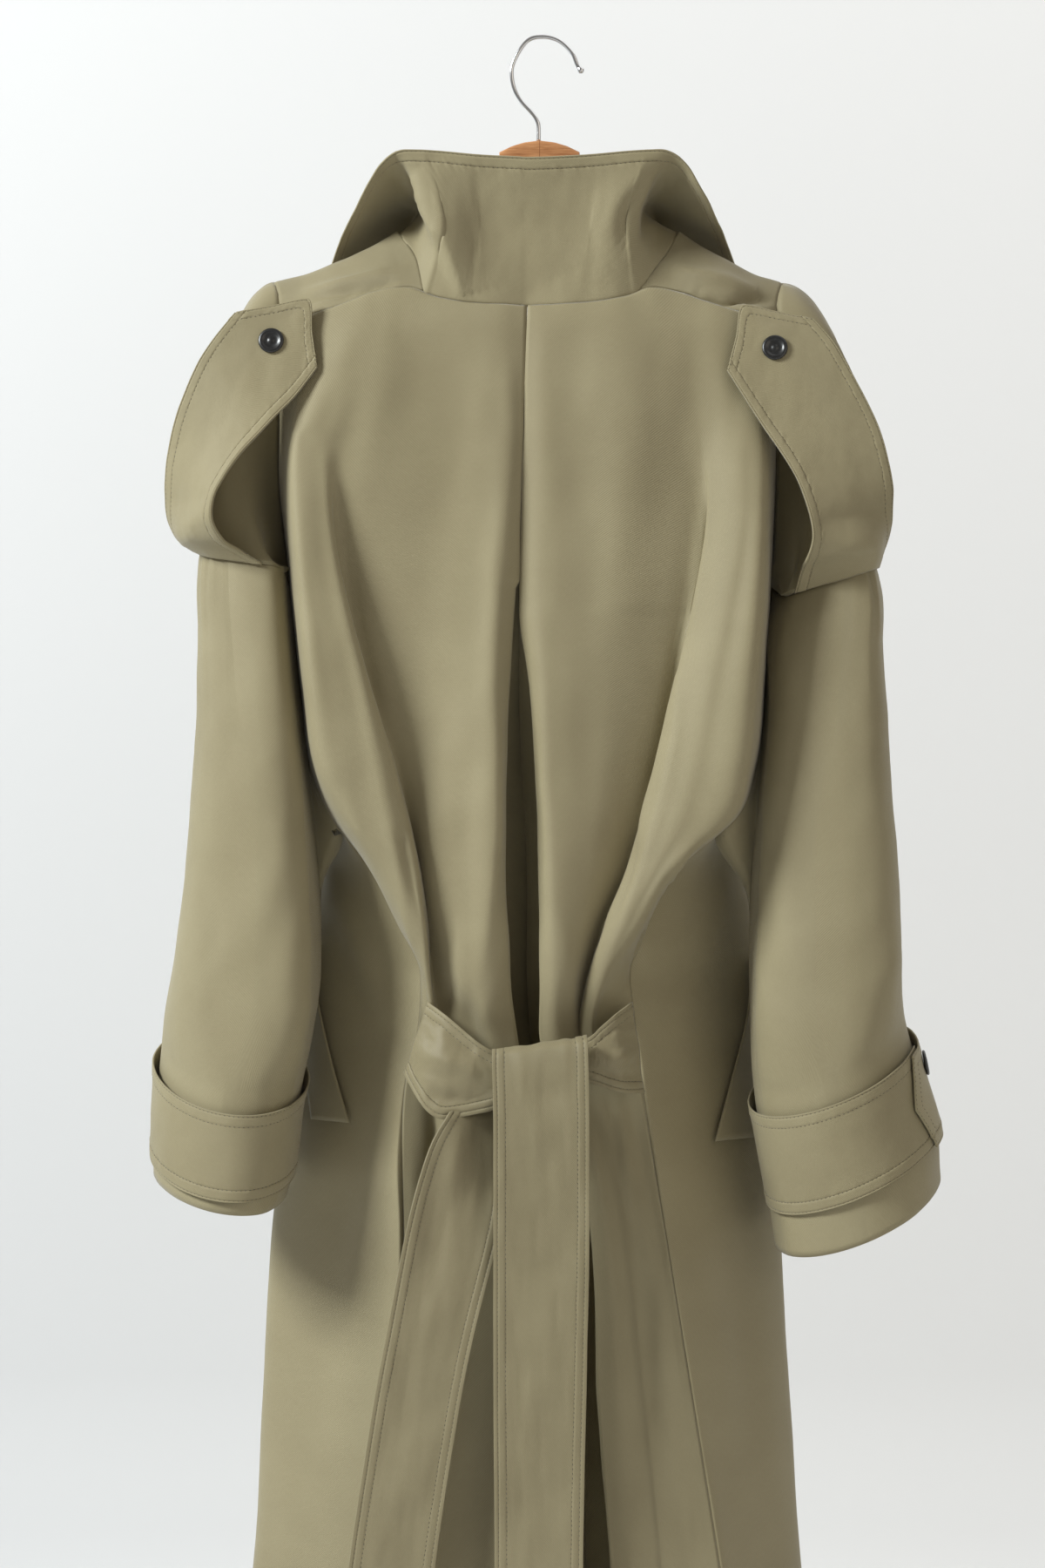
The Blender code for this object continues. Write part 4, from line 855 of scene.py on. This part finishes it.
# ---- The collar ----
# Two layers with a stiff interlining, sewn to the neck: it stands behind the neck, and its
# wings fall outwards over the shoulders. Its free edge has two rows of stitching.
COLLAR = dict(
    mid_x=[4, 38, 64, 82, 88, 93, 104, 122, 124, 114, 86],
    mid_y=[-44, -46, -49, -41, 3, 34, 44, 52, 64, 78, 82],
    mid_z=[-160, -160, -158, -150, -135, -134, -146, -162, -188, -224, -262],
    top_x=[4, 42, 76, 100, 117, 131, 144, 157, 166, 163, 144],
    top_y=[-57, -57, -57, -57, -54, -46, -24, 12, 46, 72, 86],
    top_z=[-103, -101, -98, -97, -105, -124, -145, -166, -192, -219, -252],
)
COLLAR_MIDDLE = -5.0
COLLAR_FOLDS = [
    (6, 20, 11, 1.5, -103, -112, -88, -138, -75, -168, -65, -196, -60, -216),
    (12, 16, 2.5, 2, 92, -112, 72, -130, 54, -160, 50, -205),
    (7, 6, -5, 1.9, 84, -120, 70, -144, 66, -174),
    (5, 5, -3.5, 1.9, 90, -130, 83, -149, 78, -168),
    (34, 34, 2.5, 2, -30, -112, 0, -150, 20, -195),
]


def collar_side(side):
    """Lines from the neck seam to the free edge, from the middle of the back to the front corner."""
    edge = backs[side][0]
    back_neck = edge[LIP:len(edge) - len(shoulder_edge(side)) + 1]
    front_neck = fronts[side][:(NECK_ROWS - 1) * DOWN + 1, 0]
    foot = np.concatenate([resample(back_neck, 14), resample(front_neck, 14)[1:]])
    table_rows = range(len(COLLAR["mid_x"]))
    places = lengths(foot) / lengths(foot)[-1] * table_rows[-1]
    read = {name: smooth(places, table_rows, values) for name, values in COLLAR.items()}
    middle, free = (np.stack([read[f"{line}_{axis}"] for axis in "xyz"], axis=-1) * [side, 1, 1]
                    + [COLLAR_MIDDLE, 0, 0] for line in ("mid", "top"))
    return np.array([through(points, (2, 2)) for points in zip(foot, middle, free)])


collar = np.concatenate([collar_side(LEFT)[::-1], collar_side(RIGHT)[1:]])
collar = rumpled(folded(finer(collar, 5, 12), -1, COLLAR_FOLDS), -1, (40, 60), 0.9, 23)
collar = edged(collar, -1, "last_column")
cloth("collar_shell", "collar", turned_in(collar, -1, "first_column", gap=-0.4), (0.95, 0.17))
stitching("collar_stitching", collar, -1, STITCH_ROWS, ("first_row", "last_column", "-last_row"))


# ---- The shoulder straps ----
# Long two-layer straps: the pointed end is buttoned on the shoulder, and the other end runs
# loosely over the cap and is sewn into the cross seam, so that it stands off as a loop.
STRAP = {LEFT: dict(
    outer_x=[-239, -255, -268, -281, -289, -294, -293, -285, -270],
    outer_z=[-224, -244, -264, -294, -322, -355, -382, -400, -410],
    outer_y=[-50, -52, -53, -50, -44, -36, -26, -16, -8],
    inner_x=[-174, -190, -203, -218, -234, -249, -254, -245, -220],
    inner_z=[-268, -290, -304, -321, -339, -363, -384, -404, -417],
    inner_y=[-60, -65, -70, -76, -82, -87, -86, -74, -52],
), RIGHT: dict(
    outer_x=[214, 230, 247, 262, 270, 275, 275, 272, 267],
    outer_z=[-230, -249, -280, -311, -337, -366, -386, -404, -421],
    outer_y=[-56, -62, -66, -69, -70, -66, -54, -34, -12],
    inner_x=[146, 163, 175, 187, 199, 208, 211, 207, 200],
    inner_z=[-271, -299, -318, -336, -357, -383, -402, -419, -432],
    inner_y=[-66, -71, -75, -79, -83, -87, -86, -74, -46],
)}
STRAP_TIP = {LEFT: (-182, -49, -213), RIGHT: (160, -52, -218)}
STRAP_END = {LEFT: (-6, -104), RIGHT: (-6, -116)}
STRAP_WALL = 2.2
TIP_PULL = (1, 0.45, 0.15)      # how much of the way its first lines are drawn into the tip
END_PULL = ((-2, 1.0), (-3, 0.8), (-4, 0.5), (-5, 0.2))     # and its last ones to the cross seam
END_LOW, END_OUT = 1.5, 2.8     # how far its end lies below that seam and out of the sleeve
straps = {}
FIFTHS = np.linspace(0, 1, 5)
for side, name in SIDES.items():
    outer, inner = (curve(STRAP[side], [f"{edge}_{axis}" for axis in "xyz"], [2] * 8)
                    for edge in ("outer", "inner"))
    grid = np.stack([outer + (inner - outer) * t for t in FIFTHS], axis=1)
    reach = np.array(STRAP_TIP[side], float) - grid[0, 2]
    for k, pull in enumerate(TIP_PULL):
        grid[k] += np.outer([0, 0.5, 1, 0.5, 0], reach) * pull
    end = ring_point(side, np.radians(np.linspace(*STRAP_END[side], 5)),
                     np.full(5, SLEEVE[side]["z"][0] - END_LOW), END_OUT)
    for k, pull in END_PULL:
        flat = grid[k, 0] + np.outer(FIFTHS, grid[k, -1] - grid[k, 0])
        grid[k] = flat + (end - (end[0] + np.outer(FIFTHS, end[-1] - end[0]))) * pull
    grid[-1] = end
    grid = rumpled(finer(grid, 6, 14), side, (35, 50), 0.9, 29 + side)
    straps[side] = grid = edged(grid, side, "first_row", "first_column", "last_column")
    stitching(f"strap_stitching_{name}", grid, side, STITCH_ROWS,
              ("-first_column", "first_row", "last_column"), wall=STRAP_WALL)
    cloth(f"shoulder_strap_{name}", f"strap_{name}", grid, (0.11, 0.30), STRAP_WALL)


# ---- The belt ----
# Four layers pressed flat and stitched twice along each edge. Its two ends are sewn into the
# back's side seams, crossed and tied once, and the tails hang down the back.
BELT = {LEFT: dict(
    x_top=[-87, -72, -55, -38, -14],
    z_top=[-763, -773, -787, -799, -806],
    x_low=[-105, -94, -76, -40, -14],
    z_low=[-818, -838, -852, -846, -836],
    y=[-64, -80, -85, -86, -86],
), RIGHT: dict(
    x_top=[71, 58, 46, 37, 16],
    z_top=[-763, -772, -782, -790, -798],
    x_low=[81, 66, 52, 38, 16],
    z_low=[-834, -833, -829, -824, -820],
    y=[-62, -78, -83, -84, -82],
)}
TAIL_FRONT = dict(
    z=[-836, -806, -797, -806, -860, -930, -1040, -1205, -1345],
    y=[-91.4, -91.6, -95, -101, -104, -104, -104, -107, -110],
    left=[-36, -37, -37, -37, -36, -36, -36, -35, -35],
    right=[38, 37, 36, 37, 38, 38, 36, 33, 33],
    turn=[0] * 9,
)
TAIL_REAR = dict(
    z=[-846, -870, -900, -940, -1015, -1080, -1205, -1320],
    y=[-89, -93, -95, -96, -95, -95, -98, -100],
    left=[-70, -84, -94, -104, -118, -130, -149, -162],
    right=[-28, -26, -26, -31, -50, -63, -82, -92],
    turn=[20, 20, 18, 9, 0, 0, 0, 0],  # its right edge is twisted away
)
BELT_FOLDS = {LEFT: [
    (9, 8, 3, 1.9, -100, -796, -74, -808, -45, -814),
    (6, 7, -3, 1.8, -94, -832, -66, -838, -40, -836),
    (4, 5, -2, 1.7, -88, -776, -64, -792, -40, -806),
], RIGHT: [
    (7, 7, 3, 1.9, 76, -800, 56, -806, 38, -806),
    (4, 5, -2.4, 1.8, 74, -820, 54, -816, 38, -812),
    (4, 4, -2, 1.7, 70, -776, 54, -786, 38, -797),
], "near": [
    (5, 6, 1.6, 1.8, -30, -822, -8, -815, 22, -818),
    (5, 6, -1.8, 1.8, -14, -836, 10, -832, 32, -840),
    (7, 8, 1.3, 2, -34, -862, -8, -868, 16, -860),
    (8, 9, -1.3, 2, -32, -960, 0, -968, 34, -956),
    (8, 8, 1.4, 2, -20, -1052, 8, -1064, 30, -1060),
    (9, 9, -1.4, 2, -30, -1140, 0, -1132, 30, -1144),
], "far": [
    (8, 12, 5, 1.8, -64, -850, -68, -880, -70, -916),
    (10, 12, -2.4, 1.9, -80, -900, -84, -960, -92, -1010),
    (7, 8, 1.6, 1.9, -100, -985, -76, -1000, -58, -992),
    (7, 8, -1.8, 1.9, -112, -1064, -90, -1076, -66, -1068),
    (8, 8, 1.6, 1.9, -128, -1132, -104, -1138, -80, -1150),
]}
fabrics["belting"] = gabardine_finish("belting", (0.325, 0.281, 0.168), (0.235, 0.199, 0.113), 0.42)
THIRDS = (0, 0.33, 0.67, 1)
BELT_SWELL, TOP_SLOPE = 3, 9    # how far its ends round out, and how far the front tail's top slopes

for side, name in SIDES.items():
    top, low = (curve(BELT[side], (f"x_{edge}", "y", f"z_{edge}"), [2] * 4) for edge in ("top", "low"))
    end = np.array([top + (low - top) * t - [0, BELT_SWELL * math.sin(math.pi * t), 0] for t in THIRDS])
    end = rumpled(folded(finer(end, 12, 6), side, BELT_FOLDS[side]), side, (18, 18), 1.2, 31 + side)
    end = edged(end, side, "first_row", "last_row", rows=BELT_ROWS)
    stitching(f"belt_end_stitching_{name}", end, side, BELT_ROWS, ("first_row",), ("last_row",),
              wall=STRAP_WALL)
    cloth(f"belt_end_{name}", f"belt_{name}", end, (0.11, 0.078), STRAP_WALL, slot="belting")
for name, node, table, steps, cut, rests_on in (
        ("near", "belt_tail_front", TAIL_FRONT, (1, 2, 2, 1, 1, 1, 1, 1), (0.076, 0.60),
         ("belt_end_left", "belt_end_right")),
        ("far", "belt_tail_rear", TAIL_REAR, [1] * 7, (0.076, 0.50), ("belt_end_left",))):
    left, right = (curve(table, (edge, "y", "z"), steps) for edge in ("left", "right"))
    right[:, 1] += smooth(right[:, 2], table["z"], table["turn"])
    tail = finer(np.stack([left + (right - left) * t for t in THIRDS], axis=1), 8, 12)
    if name == "near":      # its rolled top slopes up to the right
        slope = np.clip((tail[..., 2] + 880) / 60, 0, 1) * np.clip((tail[..., 0] + 37) / 74, 0, 1)
        tail[..., 2] += TOP_SLOPE * slope
    tail = rumpled(folded(tail, -1, BELT_FOLDS[name]), -1, (24, 60), 1.2, 37)
    tail = edged(tail, -1, "first_column", "last_column", "last_row", rows=BELT_ROWS)
    stitching(f"belt_stitching_{name}", tail, -1, BELT_ROWS, ("first_column", "last_row", "-last_column"),
              wall=STRAP_WALL)
    cloth(f"belt_tail_{name}", node, tail, cut, STRAP_WALL, slot="belting")


# ---- The pocket welts ----
# A folded band of gabardine on each side panel, sewn in along one long edge over the pocket's
# slanting opening, and tacked down at both ends.
WELT_OUT, WELT_LESS = 6.0, 3.2      # out from the panel at its sewn edge, and less at the other
POCKET = {
    LEFT: {"z": [-720, -765, -817, -861], "near": [0.70, 0.62, 0.47, 0.33], "far": [0.80, 0.80, 0.72, 0.60]},
    RIGHT: {"z": [-734, -780, -830, -876], "near": [0.76, 0.68, 0.52, 0.38], "far": [0.86, 0.86, 0.78, 0.68]},
}


def side_panel_point(side, z, share, proud):
    """A point of the side panel between the back's side seam and the flank, moved out by the wall."""
    panel = fronts[side][SEAM_START:]
    line = np.array([[np.interp(-z, -panel[:, column, 2], panel[:, column, axis]) for axis in range(3)]
                     for column in range(-1, -2 - FRONT_STEPS[-1] * ACROSS, -1)])
    point = np.array([np.interp(share, np.linspace(0, 1, len(line)), column) for column in line.T])
    way = line[-1] - line[0]
    return point + proud * unit(np.array([side * way[1], -abs(way[0]), 0.0]))


for side, name in SIDES.items():
    grid = np.array([[side_panel_point(side, z, near + (far - near) * t, WELT_OUT - WELT_LESS * t)
                      for t in (0, 0.5, 1)]
                     for z, near, far in zip(*POCKET[side].values())])
    cloth(f"welt_{name}", f"pocket_welt_{name}", finer(grid, 10, 8), (0.03, 0.17))


# ---- The buttons ----
# Turned from black horn, 20 mm across, with a raised rim, a dished middle and a fine lathe
# line: one holds each shoulder strap's end, and one closes each cuff strap.
horn, horn_in, shine = finish_of("black_horn", Coat_Weight=0.25, Coat_Roughness=0.22, IOR=1.54)
veins = shine.speckle(260.0, 4.0, Distortion=1.2)
paint(horn_in, Base_Color=veins.between((0.003, 0.003, 0.004), (0.014, 0.014, 0.013)),
      Roughness=0.26 + 0.2 * veins)
BUTTON_SIDES, BUTTON_OFF = 48, 1.9      # round its rim, and how far its middle stands off the cloth
BUTTON_PROFILE = [(0, 0.5), (1.6, 0.45), (2.4, -0.1), (3.4, -0.25), (5.4, -0.1), (6.6, 0.55), (7.3, 0.95),
                  (8.3, 1.0), (9.3, 0.75), (10.0, 0.1), (10.0, -0.8), (9.2, -1.3), (7.5, -1.6), (0, -1.7)]


def button(name, node, grid, sign, wall):
    """A button sewn onto the cloth where its solid is, at the cloth's own slant."""
    solid = solid_points(node)
    middle = (solid.max(axis=0) + solid.min(axis=0)) / 2
    place = np.unravel_index(np.argmin(np.linalg.norm(grid - middle, axis=-1)), grid.shape[:2])
    axis = outward(grid, sign)[place]
    middle = grid[place] + axis * (wall / 2 + BUTTON_OFF)
    turn = Vector(axis).to_track_quat("Z", "Y").to_matrix()
    points = [middle + np.array(turn @ Vector((r * math.cos(a), r * math.sin(a), h)))
              for r, h in BUTTON_PROFILE for a in np.radians(np.arange(0, 360, 360 / BUTTON_SIDES))]
    piece(name, points, loft_faces(len(BUTTON_PROFILE), BUTTON_SIDES, True), horn, "horn", node)


for side, name in SIDES.items():
    button(f"shoulder_button_{name}", f"strap_button_{name}", straps[side], side, STRAP_WALL)
    button(f"wrist_button_{name}", f"cuff_button_{name}", cuffs[side], side, WALL)


# ---- Floor, light and camera ----
# A seamless white backdrop in soft daylight from the left and above.
WALL_HALF = 7000
WALL_LINE = [(-WALL_HALF, -1470), (500, -1470), (700, -1440), (840, -1350), (900, -1200), (900, 3000)]
plaster, plaster_in, wall = finish_of("white_wall", Roughness=0.9)
away_x, _, up = wall.parts()
painted_wall_shade = 0.68 + 0.22 * away_x + 0.06 * up + 0.12 * wall.speckle(0.8)      # painted shade: the wall is coloured a little dimmer to the left and towards the bottom, for how the light on it falls off, with soft blotches
paint(plaster_in, Base_Color=painted_wall_shade.between((0.50, 0.51, 0.53), (0.89, 0.885, 0.885)),
      Alpha=1.0 - wall.node("NewGeometry", {}, "Backfacing"))       # seen from one side only
mesh_of("backdrop", [(x, y, z) for x in (-WALL_HALF, WALL_HALF) for y, z in WALL_LINE],
                 [(k, k + 6, k + 7, k + 1) for k in range(5)], plaster)

for name, place, aim, size, power, colour in (
        ("window", (-2.6, -1.3, 1.2), (0, 0, -0.3), 1.0, 136, (0.955, 1.0, 1.0)),
        ("room", (2.1, -2.6, 0.2), (0, 0, -0.55), 2.4, 16, (1.0, 0.92, 0.80)),
        ("on the wall", (0.9, 0.2, 1.3), (0.3, 0.9, -0.6), 1.8, 8, (1.0, 1.0, 1.0))):
    lamp = bpy.data.lights.new(name, "AREA")
    lamp.shape, lamp.size, lamp.energy, lamp.color = "SQUARE", size, power, colour
    light = bpy.data.objects.new(name, lamp)
    light.location = place
    light.rotation_euler = (Vector(aim) - Vector(place)).to_track_quat("-Z", "Y").to_euler()
    bpy.context.scene.collection.objects.link(light)
sky = bpy.data.worlds.new("pale_room")
sky.use_nodes = True
sky_in = sky.node_tree.nodes["Background"].inputs
sky_in["Color"].default_value, sky_in["Strength"].default_value = (1.0, 0.96, 0.90, 1), 0.24
bpy.context.scene.world = sky

FIELD, AWAY = 1.224, 3.0  # the height that is in view at the coat, and how far the camera stands
lens = bpy.data.cameras.new("camera")
lens.sensor_fit = "VERTICAL"
lens.sensor_height = 36.0
lens.lens = 36.0 * AWAY / FIELD
camera = bpy.data.objects.new("camera", lens)
camera.location = (-0.0136, -0.060 - AWAY, -0.593)
camera.rotation_euler = (math.radians(90), 0, 0)
bpy.context.scene.collection.objects.link(camera)
bpy.context.scene.camera = camera

bpy.context.scene.view_settings.view_transform = "Standard"
